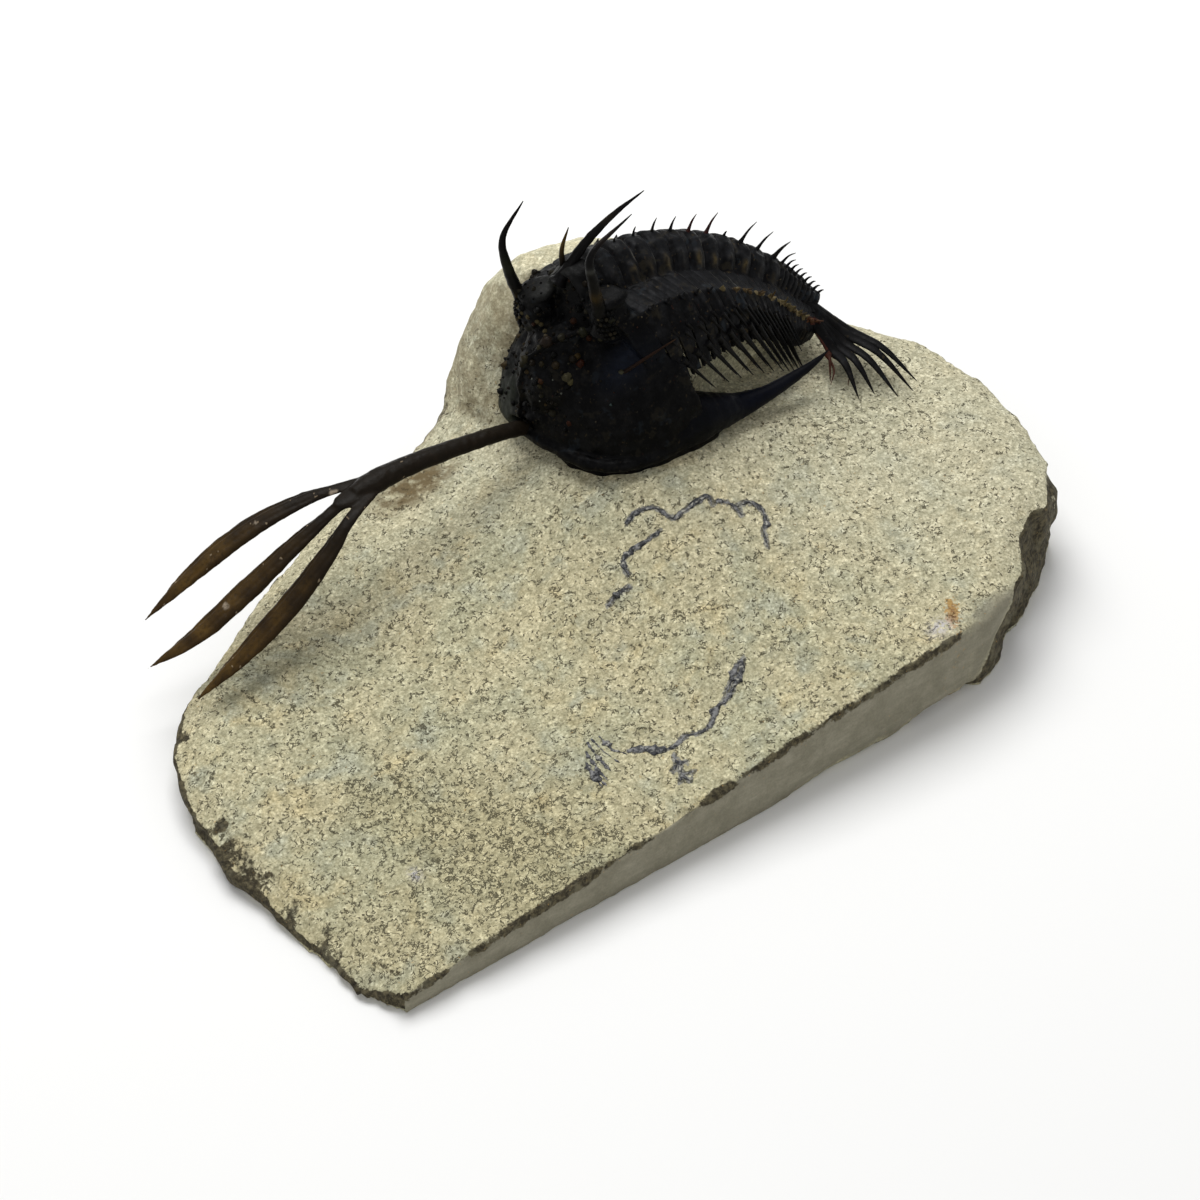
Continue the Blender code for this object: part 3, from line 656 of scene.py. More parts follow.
def paint_seams(block, up):
    """Store how near each point of the top is to a shell string."""
    co = read(block)
    x, y, _ = co.T
    lines = np.array([(p.x, p.y) for points, _ in SLIVERS
                      for p in smooth_path([(*q, 0) for q in points], 40)])
    close = np.full(len(co), 9.0)
    spots = np.flatnonzero((x > -20) & (x < 28) & (y < 10) & (y > -31) & (up > 0.5))
    close[spots] = np.sqrt(((co[spots, None, :2] - lines[None]) ** 2).sum(2).min(1))
    seam = bell(np.maximum(0, close - 0.2), 0, 0.3)
    paint(block, np.stack([seam] * 4, -1), "seams")


# Shell slivers that lie in the surface: their middle lines from above, and their widths
SLIVERS = [
    ([(9.6, 7.2), (11.6, 7.5), (13.8, 6.4), (14.6, 4.0), (16.4, 3.9), (18.0, 4.0), (20.2, 3.9),
      (19.9, 2.5)], 0.52),
    ([(20.6, 2.6), (21.3, 2.2), (22.3, 1.2), (22.4, -0.6)], 0.36),
    ([(23.0, 0.8), (24.5, 0.5), (25.1, -1.2), (24.5, -3.0), (23.3, -3.9), (22.1, -6.2)], 0.34),
    ([(12.3, 3.6), (10.2, 3.6), (8.2, 3.7), (6.5, 3.6), (5.8, 2.6), (5.6, 1.3)], 0.6),
    ([(4.8, 0.0), (2.8, 0.2), (1.1, -0.1)], 0.6),
    ([(-9.9, -18.7), (-8.2, -19.7), (-6.7, -21.0), (-5.1, -21.6), (-2.9, -21.2)], 0.55),
    ([(-2.9, -21.2), (-1.1, -22.1), (0.7, -21.9), (2.3, -20.7), (4.1, -20.3)], 0.48),
    ([(3.6, -20.6), (6.1, -19.4), (8.0, -18.4), (9.6, -16.9)], 0.52),
    ([(4.3, -19.9), (6.2, -18.7), (8.2, -17.4), (9.6, -16.9)], 0.3),
    ([(-5.9, -22.7), (-6.4, -24.3), (-6.9, -25.9), (-6.8, -27.3)], 0.30),
    ([(-5.2, -24.6), (-6.4, -24.3), (-7.6, -24.6)], 0.26),
    ([(-5.6, -26.4), (-6.9, -25.9), (-7.8, -26.6)], 0.26)]
COMB = [[(-14.7, -16.4), (-15.2, -18.6), (-15.4, -20.9)], [(-13.8, -15.4), (-14.2, -17.8), (-14.3, -20.5)],
        [(-12.9, -14.5), (-13.2, -17.2), (-13.1, -19.8)], [(-12.2, -14.3), (-12.1, -16.8), (-11.6, -19.4)],
        [(-11.2, -14.6), (-11.1, -17.0), (-10.2, -19.0)], [(-14.0, -17.6), (-14.9, -19.4), (-14.9, -21.1)]]
COMB_WIDTH = 0.34


def build_slivers(block):
    """The grey-blue shell strings and the comb that lie flush in the block's top."""
    made = []
    for points, wide in SLIVERS + [(tooth, COMB_WIDTH) for tooth in COMB]:
        line = []
        for p in smooth_path([(*p, 0) for p in points], 30):
            place = block.ray_cast(Vector((p.x, p.y, 60)) * MM, Vector((0, 0, -1)))[1]
            line.append((p.x, p.y, place.z / MM - 0.02))

        def radius(t, w=wide, seed=len(made) * 7.3):
            swell = noise.noise(Vector((t * 4.5, seed, 0))) + 0.6 * noise.noise(Vector((t * 13, seed, 5)))
            taper = 0.25 + 0.75 * math.sin(math.pi * min(1, 0.04 + t)) ** 0.7
            return w * max(0.10, taper * (0.78 + 0.95 * swell))

        made.append(rod("sliver", line, radius, 90, 3, 0.55, 1.0))
    slivers = join("shell_slivers", made)
    return done(slivers, "shell", fragment_finish(), "matrix", angle=60)


# Fork and horns

# Half widths of a tine along its length
LEAF = [(0.0, 0.75), (0.16, 0.86), (0.28, 1.0), (0.42, 1.38), (0.60, 1.76), (0.75, 1.66), (0.87, 1.12),
        (1.0, 0.06)]
STEM = [(12, 27, 18.6), (5, 26.9, 21.1), (-6, 26.6, 23.1), (-13, 26.8, 23.4), (-19, 26.5, 23.2)]
TINES = [[(-14, 27.4, 23.4), (-19.6, 28.8, 23.0), (-24, 30.6, 22.0), (-31, 32.3, 19.8), (-39, 32.8, 16.6),
          (-47.8, 32.2, 12.8)],
         [(-14, 26.9, 23.4), (-21.1, 26.1, 22.9), (-27, 26.2, 20.4), (-35, 26.3, 16.4), (-43, 26.3, 12.8),
          (-50.5, 27.4, 9.9)],
         [(-14, 26.4, 23.4), (-21.2, 23.5, 22.8), (-26, 22.1, 20.0), (-32, 21.3, 16.0), (-39.5, 20.7, 12.0),
          (-48.2, 20.2, 8.3)]]
# Pale spots of the fork: place and size
FORK_SPOTS = (((-38.6, 26.2, 14.9), 0.95), ((-21.0, 28.4, 23.2), 0.7), ((-16.2, 26.4, 24.2), 0.45),
              ((-34.2, 21.6, 14.8), 0.35), ((-30.4, 32.0, 20.5), 0.4))
FORK_DARK, AMBER, SHADED_AMBER = (0.010, 0.0075, 0.005), (0.085, 0.048, 0.012), (0.026, 0.015, 0.006)
FLECK, PALE_SPOT = (0.26, 0.20, 0.13), (0.33, 0.27, 0.20)


def blend(first, second, share):
    """Colours of points between two colours; the share, 0 to 1, is that of the second."""
    share = share[:, None]
    return np.asarray(first) * (1 - share) + np.asarray(second) * share


def build_fork():
    """Stem and three leaf-shaped tines of the fork, brown-black at the stem and amber at the tips."""
    stem = rod("stem", STEM, lambda t: 1.18 + 0.75 * t ** 1.5 - 0.7 * float(step(0.88, 1.0, t)),
               60, 5, 0.72, 0.08)

    def leaf(t):
        return float(np.interp(t, *zip(*LEAF)))

    web = ball((-18.9, 26.2, 23.1), (3.3, 1.7, 0.6))
    fork = join("head_fork", [stem, web] + [rod("tine", path, leaf, 90, 4, 0.36, 0.06) for path in TINES])
    modify(fork, "REMESH", mode="VOXEL", voxel_size=FORK_VOXEL * MM)
    modify(fork, "SMOOTH", factor=0.5, iterations=8)
    co, nor = read(fork), normals(fork)
    lines = np.array([tuple(p) for path in TINES for p in smooth_path(path, 260)])
    across = np.concatenate([np.sqrt(((part[:, None, :2] - lines[None, :, :2]) ** 2).sum(2)).min(1)
                             for part in np.array_split(co, 40)])
    crease = -0.10 * bell(across, 0.75, 0.25) * step(-21, -25, co[:, 0]) * (nor[:, 2] > 0)
    write(fork, co + nor * (grains(co, (0.06, 1.8, 20), (0.03, 0.7, 21)) + crease)[:, None])
    clear = np.clip(0.5 + 0.9 * grain(co, 2.4, 22), 0, 1) * (1 - 0.5 * step(0.7, 1.5, across))
    tones = blend(FORK_DARK, blend(SHADED_AMBER, AMBER, clear), step(-22, -43, co[:, 0]))
    tones[(grain(co, 0.5, 23) > 0.66) & (grain(co, 3.0, 25) > 0.1)] = FLECK
    for place, size in FORK_SPOTS:
        away = np.linalg.norm(co - np.array(place), axis=1) + 0.4 * grain(co, 0.5, 24)
        tones = blend(tones, PALE_SPOT, step(size, size * 0.4, away))
    paint(fork, np.concatenate([tones, np.full((len(co), 1), 0.95)], 1))
    finish = shell("fork_brown", (0.010, 0.008, 0.006), (0.024, 0.016, 0.010), 0.25, (0.30, 0.46))
    return done(fork, "shell", finish, "cephalon", angle=180)


THORN = [tuple(head_point(8.3, 12.2, 9.7).lerp(Vector((20.6, 11.6, 38.6)), k / 3)) for k in range(4)]
# Each horn's line, thickness and bands of colour; a band has its middle, its half width and its tint
HORNS = [
    ([(12.6, 32.2, 32.8), (12.3, 32.7, 35.0), (11.1, 34.1, 40.0), (11.0, 35.2, 44.6), (13.6, 34.2, 49.9)],
     0.95, [(0.30, 0.05, (0.045, 0.029, 0.009)), (0.55, 0.06, (0.014, 0.015, 0.008)),
            (0.20, 0.03, (0.03, 0.018, 0.008))]),
    # The near eye's horn; its narrow grey band at 0.62 is a painted glint.
    ([(15.6, 20.2, 37.0), (15.3, 20.1, 39.5), (13.8, 19.7, 45.6), (13.7, 19.8, 50.2), (20.3, 20.4, 53.0)],
     0.98, [(0.42, 0.03, (0.030, 0.019, 0.006)), (0.62, 0.02, (0.035, 0.035, 0.032)),
            (0.86, 0.05, (0.016, 0.011, 0.009))]),
    ([(14.6, 28.4, 40.0), (15.9, 28.2, 41.6), (19.2, 28.0, 45.0), (22.8, 27.1, 48.1), (26.5, 25.9, 50.7)],
     0.80, [(0.7, 0.06, (0.014, 0.011, 0.008))]),
    ([(16.3, 29.4, 40.3), (16.0, 29.3, 44.1), (17.0, 29.2, 47.2)],
     0.40, [(0.72, 0.30, (0.065, 0.040, 0.010))]),
    (THORN, 0.24, [(0.5, 0.5, (0.018, 0.008, 0.005)), (0.95, 0.1, (0.030, 0.014, 0.007))])]
HORN_BLACK = (0.004, 0.0037, 0.0037)
RIM_SPINE = [(17.5, 16.0, 21.2), (24.6, 13.7, 22.2), (28.1, 13.0, 22.0), (32.2, 12.8, 21.2),
             (36.4, 12.2, 21.5), (42.0, 12.5, 21.8), (45.8, 13.1, 21.9), (48.7, 13.9, 22.0)]
RIM_SPINE_THICK = [4.6, 3.9, 2.9, 1.9, 1.15, 0.75, 0.42, 0.06]


def build_horns():
    """The long horns over the eyes and the nape and the two slim thorns, with flared roots."""
    made = []
    for path, thick, bands in HORNS:
        def tone(t, bands=bands):
            colour = np.array(HORN_BLACK)
            for middle, half, tint in bands:
                weight = bell(t, middle, half)
                colour = colour * (1 - weight) + np.array(tint) * weight
            return (*colour, 0.9)

        def radius(t, thick=thick):
            return 0.06 + (thick - 0.06) * (1 - t ** 1.9) + 0.6 * thick * math.exp(-t / 0.09)

        made.append(rod("horn", path, radius, 60, 5, 1.0, 0.12, tone))
    finish = shell("horn_black", (0.003, 0.003, 0.003), (0.010, 0.0095, 0.009), 0.4, (0.26, 0.42))
    return done(join("head_horns", made), "shell", finish, "cephalon")


def build_cheek_spine():
    """The thick dark spine that runs back from the near cheek, beside the body."""
    def tone(t):
        blue = 0.3 * bell(t, 0.5, 0.25)
        return (0.0015 + 0.004 * blue, 0.0017 + 0.006 * blue, 0.0022 + 0.018 * blue, 0.8)

    def radius(t):
        return float(np.interp(t, np.linspace(0, 1, len(RIM_SPINE_THICK)), RIM_SPINE_THICK))

    made = rod("cheek_spine", RIM_SPINE, radius, 90, 7, 0.92, 0.04, tone)
    finish = shell("cheek_black", (0.0016, 0.0016, 0.002), (0.005, 0.0055, 0.008), 0.25)
    return done(made, "shell", finish, "cephalon")


# Head

# The hood's sections: place from the front, reach to the near and the far side, and height
HOOD = [(0.2, 2.6, 3.4, 1.6), (1.4, 7.6, 7.0, 5.0), (3.6, 12.4, 8.8, 9.5), (7.0, 15.6, 9.6, 13.4),
        (11.0, 17.0, 9.8, 16.4), (16.0, 17.2, 10.0, 18.4), (26.0, 16.8, 10.0, 18.4)]
HOOD_ROUNDNESS = 2.4
RIM = [(24.3, 11.5, 21.3), (17.9, 11.4, 21.0), (13.0, 13.0, 20.6), (10.1, 16.1, 20.4), (9.2, 20.0, 20.2),
       (8.5, 23.5, 20.0), (8.3, 26.5, 19.8), (8.6, 29.3, 19.2), (9.6, 31.6, 18.8)]
EYES = [(9.3, 10.0, 17.0), (5.9, -0.7, 15.6)]
EYE_RADII, LID_RADII = (2.6, 2.8, 3.6), (2.7, 2.7, 0.9)
# Ridges of the face: the line along the edge of the brow, and the one down the cheek
RIDGES = (([(0.3, -0.6, 2.2), (0.3, 0.5, 5.0), (0.3, 0.9, 8.0), (0.9, 2.0, 11.0), (1.9, 3.2, 12.5),
            (3.5, 4.3, 13.7), (5.5, 6.8, 14.9), (7.3, 8.8, 15.6)], 0.36),
          ([(9.5, 9.6, 12.0), (8.2, 11.8, 9.0), (8.0, 13.4, 5.0)], 0.7))
# The first, bluish tint is a painted sheen on the near cheek.
HEAD_TINTS_AND_SHEEN = ((0.009, 0.012, 0.021), (0.021, 0.024, 0.017), (0.040, 0.041, 0.037))


def hood():
    """The vaulted shield, shaped from a grid rolled over the head."""
    shield, around, back = grid("hood", 56, 40)
    table = np.array(HOOD)
    x = np.interp(back, np.linspace(0, 1, len(table)), table[:, 0])
    near, far, high = (np.interp(x, table[:, 0], table[:, k]) for k in (1, 2, 3))
    angle = around * math.pi * 1.36 - math.pi * 0.18
    bend = 2 / HOOD_ROUNDNESS
    cos, sin = np.cos(angle), np.sin(angle)
    wide = np.abs(cos) ** bend * np.where(cos > 0, near, -far)
    up = np.where(sin > 0, np.abs(sin) ** bend * high, sin * 11)
    x = x + np.maximum(0, -sin) * 7 * step(9, 2, wide) * step(7, 2, x)
    wide = wide * np.where((sin < 0) & (cos < 0), 1 + 0.9 * sin, 1)
    write(shield, np.array([tuple(head_point(*p)) for p in zip(x, wide, up)]))
    edit(shield, "DESELECT", (bpy.ops.mesh.select_non_manifold, {}), (bpy.ops.mesh.fill, {}))
    weld(shield)
    return shield


def behind_cut(shield):
    """Trim what lies behind the first segment's edge."""
    point, tail, near, _ = crest(0.0)
    co = read(shield)
    rel = co - point
    wide, back = rel @ near, rel @ tail
    limit = 0.3 * np.maximum(0, abs(wide) - LOBE) + 0.6 * np.maximum(0, abs(wide) - ELBOW) - 0.1
    limit += 3.2 * step(25, 21, co[:, 2]) * step(11, 14, wide) + 0.9 * step(9, 10.5, wide)
    over = np.maximum(0, back - limit)
    write(shield, co - over[:, None] * tail)


# Large knobs of the face: place (back, near side, up), size and tint
KNOBS = [
    ((0.9, 0.9, 12.1), 0.72, (0.060, 0.045, 0.020)), ((0.7, 0.7, 10.9), 0.6, (0.045, 0.035, 0.016)),
    ((3.6, 4.5, 13.9), 1.0, (0.042, 0.026, 0.018)), ((4.2, 6.9, 9.6), 0.85, (0.12, 0.095, 0.048)),
    ((4.4, 7.1, 8.6), 0.6, (0.16, 0.125, 0.055)), ((6.2, 7.8, 11.0), 0.72, (0.070, 0.018, 0.008)),
    ((6.0, 7.4, 11.9), 0.5, (0.11, 0.065, 0.022)), ((1.3, 4.3, 9.0), 0.5, (0.075, 0.026, 0.009)),
    ((1.4, 4.3, 8.2), 0.38, (0.08, 0.06, 0.026)), ((2.0, 7.9, 3.5), 0.48, (0.070, 0.020, 0.009)),
    ((2.2, 4.3, 11.2), 0.5, (0.045, 0.032, 0.015)), ((2.5, 3.1, 14.0), 0.42, (0.07, 0.055, 0.026)),
    ((3.5, 5.9, 10.9), 0.7, (0.048, 0.030, 0.014)), ((7.0, 9.1, 15.0), 0.66, (0.046, 0.040, 0.019)),
    ((6.7, 7.8, 14.0), 0.8, (0.036, 0.032, 0.016)), ((7.1, 8.9, 13.0), 0.5, (0.055, 0.045, 0.022)),
    ((8.5, 10.2, 18.4), 0.55, (0.070, 0.052, 0.018)), ((9.3, 11.2, 17.4), 0.7, (0.038, 0.034, 0.018)),
    ((8.6, 12.6, 10.5), 0.46, (0.13, 0.11, 0.065)), ((5.9, 13.0, 6.7), 0.24, (0.10, 0.13, 0.12)),
    ((0.7, 2.6, 8.8), 0.16, (0.36, 0.34, 0.28)), ((2.6, 5.6, 9.1), 0.16, (0.36, 0.34, 0.28)),
    ((3.0, 6.7, 7.2), 0.18, (0.28, 0.26, 0.21)), ((1.3, 3.9, 5.7), 0.14, (0.36, 0.34, 0.28)),
    ((1.2, 2.2, 6.9), 0.3, (0.030, 0.022, 0.012)), ((1.8, 6.4, 5.2), 0.34, (0.026, 0.02, 0.012))]


def build_head():
    """The head shield: vault, brow, eyes, nape ring, margin and borders, fused and roughened."""
    parts = [hood(), head_ball((8.0, 2.4, 7.2), (7.7, 6.4, 8.2), 12, 40, 26),
             head_ball((9.9, 2.8, 13.6), (3.2, 5.0, 7.0), 0, 28, 18)]
    for eye in EYES:
        parts.append(head_ball(eye, EYE_RADII, 0, 28, 18))
        parts.append(head_ball((eye[0] + 0.2, eye[1], eye[2] + 2.8), LID_RADII, -10, 28, 14))
    parts.append(plate("nape", -3.5, 3.4, np.ones_like, 0.0, 1.0, 22, 0.8, 0.0, 5.5))
    parts.append(rod("rim", RIM, lambda t: 0.95, 60, 5, rough=0.12))
    for line, size in RIDGES:
        parts.append(rod("ridge", [tuple(head_point(*p)) for p in line], lambda t: size, 40, 4))
    head = join("head_shield", parts)
    behind_cut(head)
    modify(head, "REMESH", mode="VOXEL", voxel_size=HEAD_VOXEL * MM)
    modify(head, "SMOOTH", factor=0.5, iterations=6)
    co, nor = read(head), normals(head)
    brow = np.array(head_point(7.6, 0.6, 8.6))
    near_brow = step(12.0, 7.5, np.linalg.norm(co - brow, axis=1))
    uneven = grains(co, (0.16, 2.6, 30), (0.07, 1.0, 31))
    uneven += near_brow * (0.26 * grain(co, 1.6, 32) + 0.12 * abs(grain(co, 0.8, 33)))
    write(head, co + nor * uneven[:, None])
    x, side, high = head_local(read(head))
    # A painted bluish sheen on the near cheek.
    blue = bell(side, 12.5, 2.6) * bell(high, 11.5, 3.6)
    olive = np.maximum(step(4.5, 1.0, x) * step(-0.5, -3, side), bell(high, 14, 4) * bell(side, -6.5, 1.6))
    grey = bell(high, 20.5, 2.2) * bell(side, 2, 3.5)
    tones = np.zeros((len(co), 4))
    for weight, tint in zip((blue, olive, grey), HEAD_TINTS_AND_SHEEN):
        tones[:, :3] += np.array(tint) * weight[:, None]
        tones[:, 3] = np.maximum(tones[:, 3], 0.9 * weight)
    paint(head, tones)
    finish = shell("head_black", (0.0014, 0.0014, 0.0016), (0.0048, 0.0048, 0.005), 0.4)
    return done(head, "shell", finish, "cephalon", angle=180)


# Tones of the tubercles, each with how often it comes
TUBERCLE_TONES = [((0.0025, 0.0025, 0.0025), 16), ((0.010, 0.0075, 0.005), 7), ((0.038, 0.026, 0.011), 2),
                  ((0.075, 0.060, 0.038), 1), ((0.026, 0.010, 0.005), 1), ((0.018, 0.016, 0.010), 3)]
LENS_TONES = [((0.003, 0.003, 0.003), 7), ((0.022, 0.018, 0.011), 2), ((0.06, 0.047, 0.022), 1)]
# Tubercles: how many, the least distance between two and the radius, in millimetres
COARSE, FINE, DUST = (60, 1.6, 0.5), (170, 0.9, 0.25), (130, 1.3, 0.16)
# How much darker than its tint a face knob is in each channel
KNOB_SHADE = (0.36, 0.40, 0.42)
LENS_ROWS, LENSES_IN_ROW, LENS_RADIUS = 6, 11, 0.27
# Beads on the lid of the far eye
LID_BEADS, LID_BEAD_RADIUS, LID_BEAD_TINT = 7, 0.36, (0.062, 0.050, 0.023)


def scatter(obj, count, spread, size, keep, seed):
    """Places on a surface, at least a spread apart, that a test lets through."""
    rng = random.Random(seed)
    co, nor = read(obj), normals(obj)
    order = list(range(len(co)))
    rng.shuffle(order)
    taken = np.zeros((0, 3))
    found = []
    for i in order:
        if len(found) >= count:
            break
        if not keep(co[i], nor[i]):
            continue
        if len(taken) and (((taken - co[i]) ** 2).sum(1) < spread ** 2).any():
            continue
        taken = np.vstack([taken, co[i]])
        found.append((co[i], nor[i], size * rng.uniform(0.6, 1.25), None))
    return found


def beads(name, places, tones, tall, material, seed, lumpy=0.0):
    """Many small knobs, one mesh copied to every place."""
    rng = random.Random(seed)
    bpy.ops.mesh.primitive_uv_sphere_add(segments=8, ring_count=6, radius=1)
    knob = bpy.context.object
    unit = read(knob) * MM
    faces = [tuple(p.vertices) for p in knob.data.polygons]
    bpy.data.objects.remove(knob)
    verts, polys, colours = [], [], []
    bag = [tone for tone, weight in tones for _ in range(weight)]
    for at, direction, size, tint in places:
        turn = np.array(Vector(direction).to_track_quat("Z", "Y").to_matrix())
        shape = unit.copy()
        rise = np.clip(shape[:, 2], 0, 1)
        shape[:, :2] *= (1 - 0.35 * rise)[:, None]
        shape[:, 2] *= tall
        shape += shape * lumpy * grain(shape * 1.3 + len(verts), 1.0)[:, None]
        base = len(verts)
        verts.extend(shape @ turn.T * size + at)
        polys.extend(tuple(base + k for k in face) for face in faces)
        colours.extend([(*(tint or rng.choice(bag)), 0.9)] * len(unit))
    mesh = bpy.data.meshes.new(name)
    mesh.from_pydata([tuple(v * MM) for v in verts], [], polys)
    obj = linked(name, mesh)
    paint(obj, colours)
    return done(obj, "shell", material, "cephalon", angle=180)


def build_tubercles(head):
    """Coarse and fine tubercles over the brow and the eyes, the face knobs and the lenses of both eyes."""
    back = np.array(head_axes()[0])

    def on_brow(place, normal):
        x, side, high = head_local(place)
        return x < 10 and -7.5 < side < 7.8 and 2.5 < high < 21 and normal @ back < 0.75

    def anywhere(place, _):
        x, side, high = head_local(place)
        return high > 1.5 and x < 15 and side < 15

    finish = shell("tubercle_shell", (0.0025, 0.0025, 0.0025), (0.008, 0.0075, 0.0065), 0.3, (0.30, 0.5))
    warts = scatter(head, *COARSE, on_brow, 5) + scatter(head, *FINE, on_brow, 6)
    warts += scatter(head, *DUST, anywhere, 7)
    beads("head_tubercles", warts, TUBERCLE_TONES, 1.15, finish, 3, 0.25)
    beads("face_knobs", [knob(head, *row) for row in KNOBS], TUBERCLE_TONES, 0.85, finish, 5, 0.55)
    beads("eye_lenses", eye_lenses() + lid_beads(head), LENS_TONES, 0.8, finish, 4)


def on_surface(obj, point):
    """The nearest place on an object, in millimetres, and the direction away from it."""
    _, at, normal, _ = obj.closest_point_on_mesh(point * MM)
    return np.array(at) / MM, np.array(normal)


def knob(head, place, size, tint):
    """One knob of the face, sunk a little into the surface."""
    at, normal = on_surface(head, head_point(place[0] - 1.0, place[1] + 0.6, place[2] + 0.4))
    return at - 0.2 * size * normal, normal, 0.9 * size, tuple(c * k for c, k in zip(tint, KNOB_SHADE))


def eye_lenses():
    """Rows of lenses around the outer side of both eyes."""
    lenses = []
    for x, n, u in EYES:
        side = 1 if n > 0 else -1
        for row in range(LENS_ROWS):
            level = -1.7 + 0.72 * row
            ring = 2.62 * math.sqrt(max(0.05, 1 - (level / 3.9) ** 2))
            for k in range(LENSES_IN_ROW):
                turn = math.radians(-75 + 15 * k + (7.5 if row % 2 else 0))
                forward = 0.9 * math.sin(turn) - 0.35 * math.cos(turn)
                at = head_point(x + ring * 1.08 * forward, n + ring * side * math.cos(turn), u + level)
                normal = np.array(at) - np.array(head_point(x, n, u + level * 0.3))
                lenses.append((np.array(at), normal / np.linalg.norm(normal), LENS_RADIUS, None))
    return lenses


def lid_beads(head):
    """The row of ochre beads below the far eye."""
    row = (head_point(4.9 - 0.12 * k, -2.6 + 0.85 * k, 16.9 - 0.42 * k) for k in range(LID_BEADS))
    return [(*on_surface(head, at), LID_BEAD_RADIUS, LID_BEAD_TINT) for at in row]


# Thorax and tail

WIDE = np.concatenate([np.linspace(0, 4.2, 22), np.linspace(4.4, 9.0, 22), np.linspace(9.15, 12.4, 20)])
WIDE = np.concatenate([-WIDE[:0:-1], WIDE])
SECTION_WIDE = np.linspace(0, 13, 400)


def smooth_section():
    """The heights of the cross-section at SECTION_WIDE, with its corners rounded."""
    raw = np.interp(SECTION_WIDE, *zip(*SECTION))
    kernel = bell(np.linspace(-2.5, 2.5, 25), 0, 1)
    beyond = raw[-1] + (np.arange(12) + 1) * (raw[-1] - raw[-2])
    return np.convolve(np.concatenate([raw[12:0:-1], raw, beyond]), kernel / kernel.sum(), "valid")


SECTION_TOP = smooth_section()


def section_top(wide):
    """Height of the smooth cross-section."""
    return np.interp(abs(wide), SECTION_WIDE, SECTION_TOP)


def relief(t, wide, strength, knobs):
    """Relief of one segment: t runs from its front edge to its back edge."""
    reach = abs(wide)
    axis = step(4.7, 3.8, reach)
    flank = step(4.3, 5.0, reach)
    outer = step(9.2, 10.0, reach)
    ring = 0.20 * np.clip(np.sin(np.pi * np.clip((t - 0.30) / 0.72, 0, 1)), 0, 1) ** 0.7
    front = -0.42 * step(0.30, 0.14, t)
    rib = 0.05 * bell(t, 0.74, 0.2) + 0.02 * bell(t, 0.24, 0.12) - 0.07 * bell(t, 0.47, 0.06)
    rib += outer * (0.22 * bell(t, 0.6, 0.22) - 0.10)
    gutter = -0.30 * bell(reach, 4.8, 0.35)
    knob = knobs * bell(reach, 4.15, 0.75) * bell(t, 0.66, 0.24)
    seam = -0.34 * step(0.08, -0.08, t) - 0.22 * step(1.0, 1.1, t)
    return strength * (axis * (ring + front) + flank * rib + gutter) + knob + seam


# The first tint is a painted slate-grey sheen.
SLATE_SHEEN, OCHRE, PALE_LINE = (0.0125, 0.013, 0.0145), (0.075, 0.056, 0.026), (0.20, 0.195, 0.165)


def plate(name, start, length, scale_of, t_low=-0.12, t_high=1.08, rows=22, strength=1.0, narrow=0.42,
          thick=0.55, knobs=(0.0, 0.0), seed=0.0):
    """A curved plate: a grid laid over the back, given relief and then thickness.

    The knobs are their height and how ochre they are.
    """
    obj, across, down = grid(name, len(WIDE) - 1, rows - 1)
    wide = np.interp(across, np.linspace(0, 1, len(WIDE)), WIDE)
    reach = abs(wide)
    t = t_low + down * (t_high - t_low)
    pinch = 1 - narrow * step(9.6, 12.4, reach)
    along = start + length * (0.5 + (t - 0.5) * pinch)
    skirt = np.clip(1 - along / SKIRT_REACH, 0, 1) * np.clip((reach - ELBOW) / SKIRT_WIDTH, 0, 1)
    uneven = np.array([noise.noise(Vector((w * 0.5 + seed, k * 2.0, seed))) for w, k in zip(wide, t)])
    high = section_top(wide) - SKIRT_DROP * skirt + relief(t, wide, strength, knobs[0] * (1 + 0.9 * uneven))
    co = body(along, wide, high, scale_of(along))
    lumps = grains(co, (0.09, 1.6, 50), (0.06, 0.7, 51))
    lumps += step(4.9, 4.2, reach) * (0.22 * grain(co, 1.5, 55) - 0.14)
    out = crest(along)[3]
    write(obj, co + out * lumps[:, None])
    edit(obj, "SELECT", OUTWARD)
    middle = len(co) // 2
    if normals(obj)[middle] @ out[middle] < 0:
        edit(obj, "SELECT", (bpy.ops.mesh.flip_normals, {}))
    seam = step(0.95, 1.0, t) * step(1.08, 1.03, t)
    pale = np.clip(seam * np.clip(-0.1 + 2.2 * grain(co, 3.0, 52), 0, 1) * step(9.6, 8.8, reach), 0, 1)
    # A painted slate-grey sheen on the upper faces: the crests of the axial rings and the inner pleural
    # lobes.
    slate = step(0.36, 0.5, t) * step(4.2, 3.8, reach) + 0.8 * step(4.9, 5.6, reach) * step(9.4, 8.8, reach)
    slate = slate * (0.55 + 0.6 * grain(co, 4.0, 53))
    ochre = knobs[1] * bell(reach, 4.2, 0.62) * bell(t, 0.66, 0.2) * (0.7 + 0.9 * grain(co, 0.8, 54))
    ochre = np.clip(ochre, 0, 1)
    strength = np.clip(0.8 * slate + 1.3 * ochre + pale, 0, 1)
    paint(obj, np.column_stack([blend(blend(SLATE_SHEEN, OCHRE, ochre), PALE_LINE, pale), strength]))
    modify(obj, "SOLIDIFY", thickness=thick * MM, offset=-1.0, use_even_offset=False)
    return obj


def spine(path, root, tone, count, sides=2, tip=0.04, flare=0.9):
    """A small spine with a flared root."""
    def radius(t):
        return tip + (root - tip) * (1 - t) ** 0.9 + flare * root * math.exp(-t / 0.09)

    return rod("spine", path, radius, count, sides, 1.0, 0.15, tone)


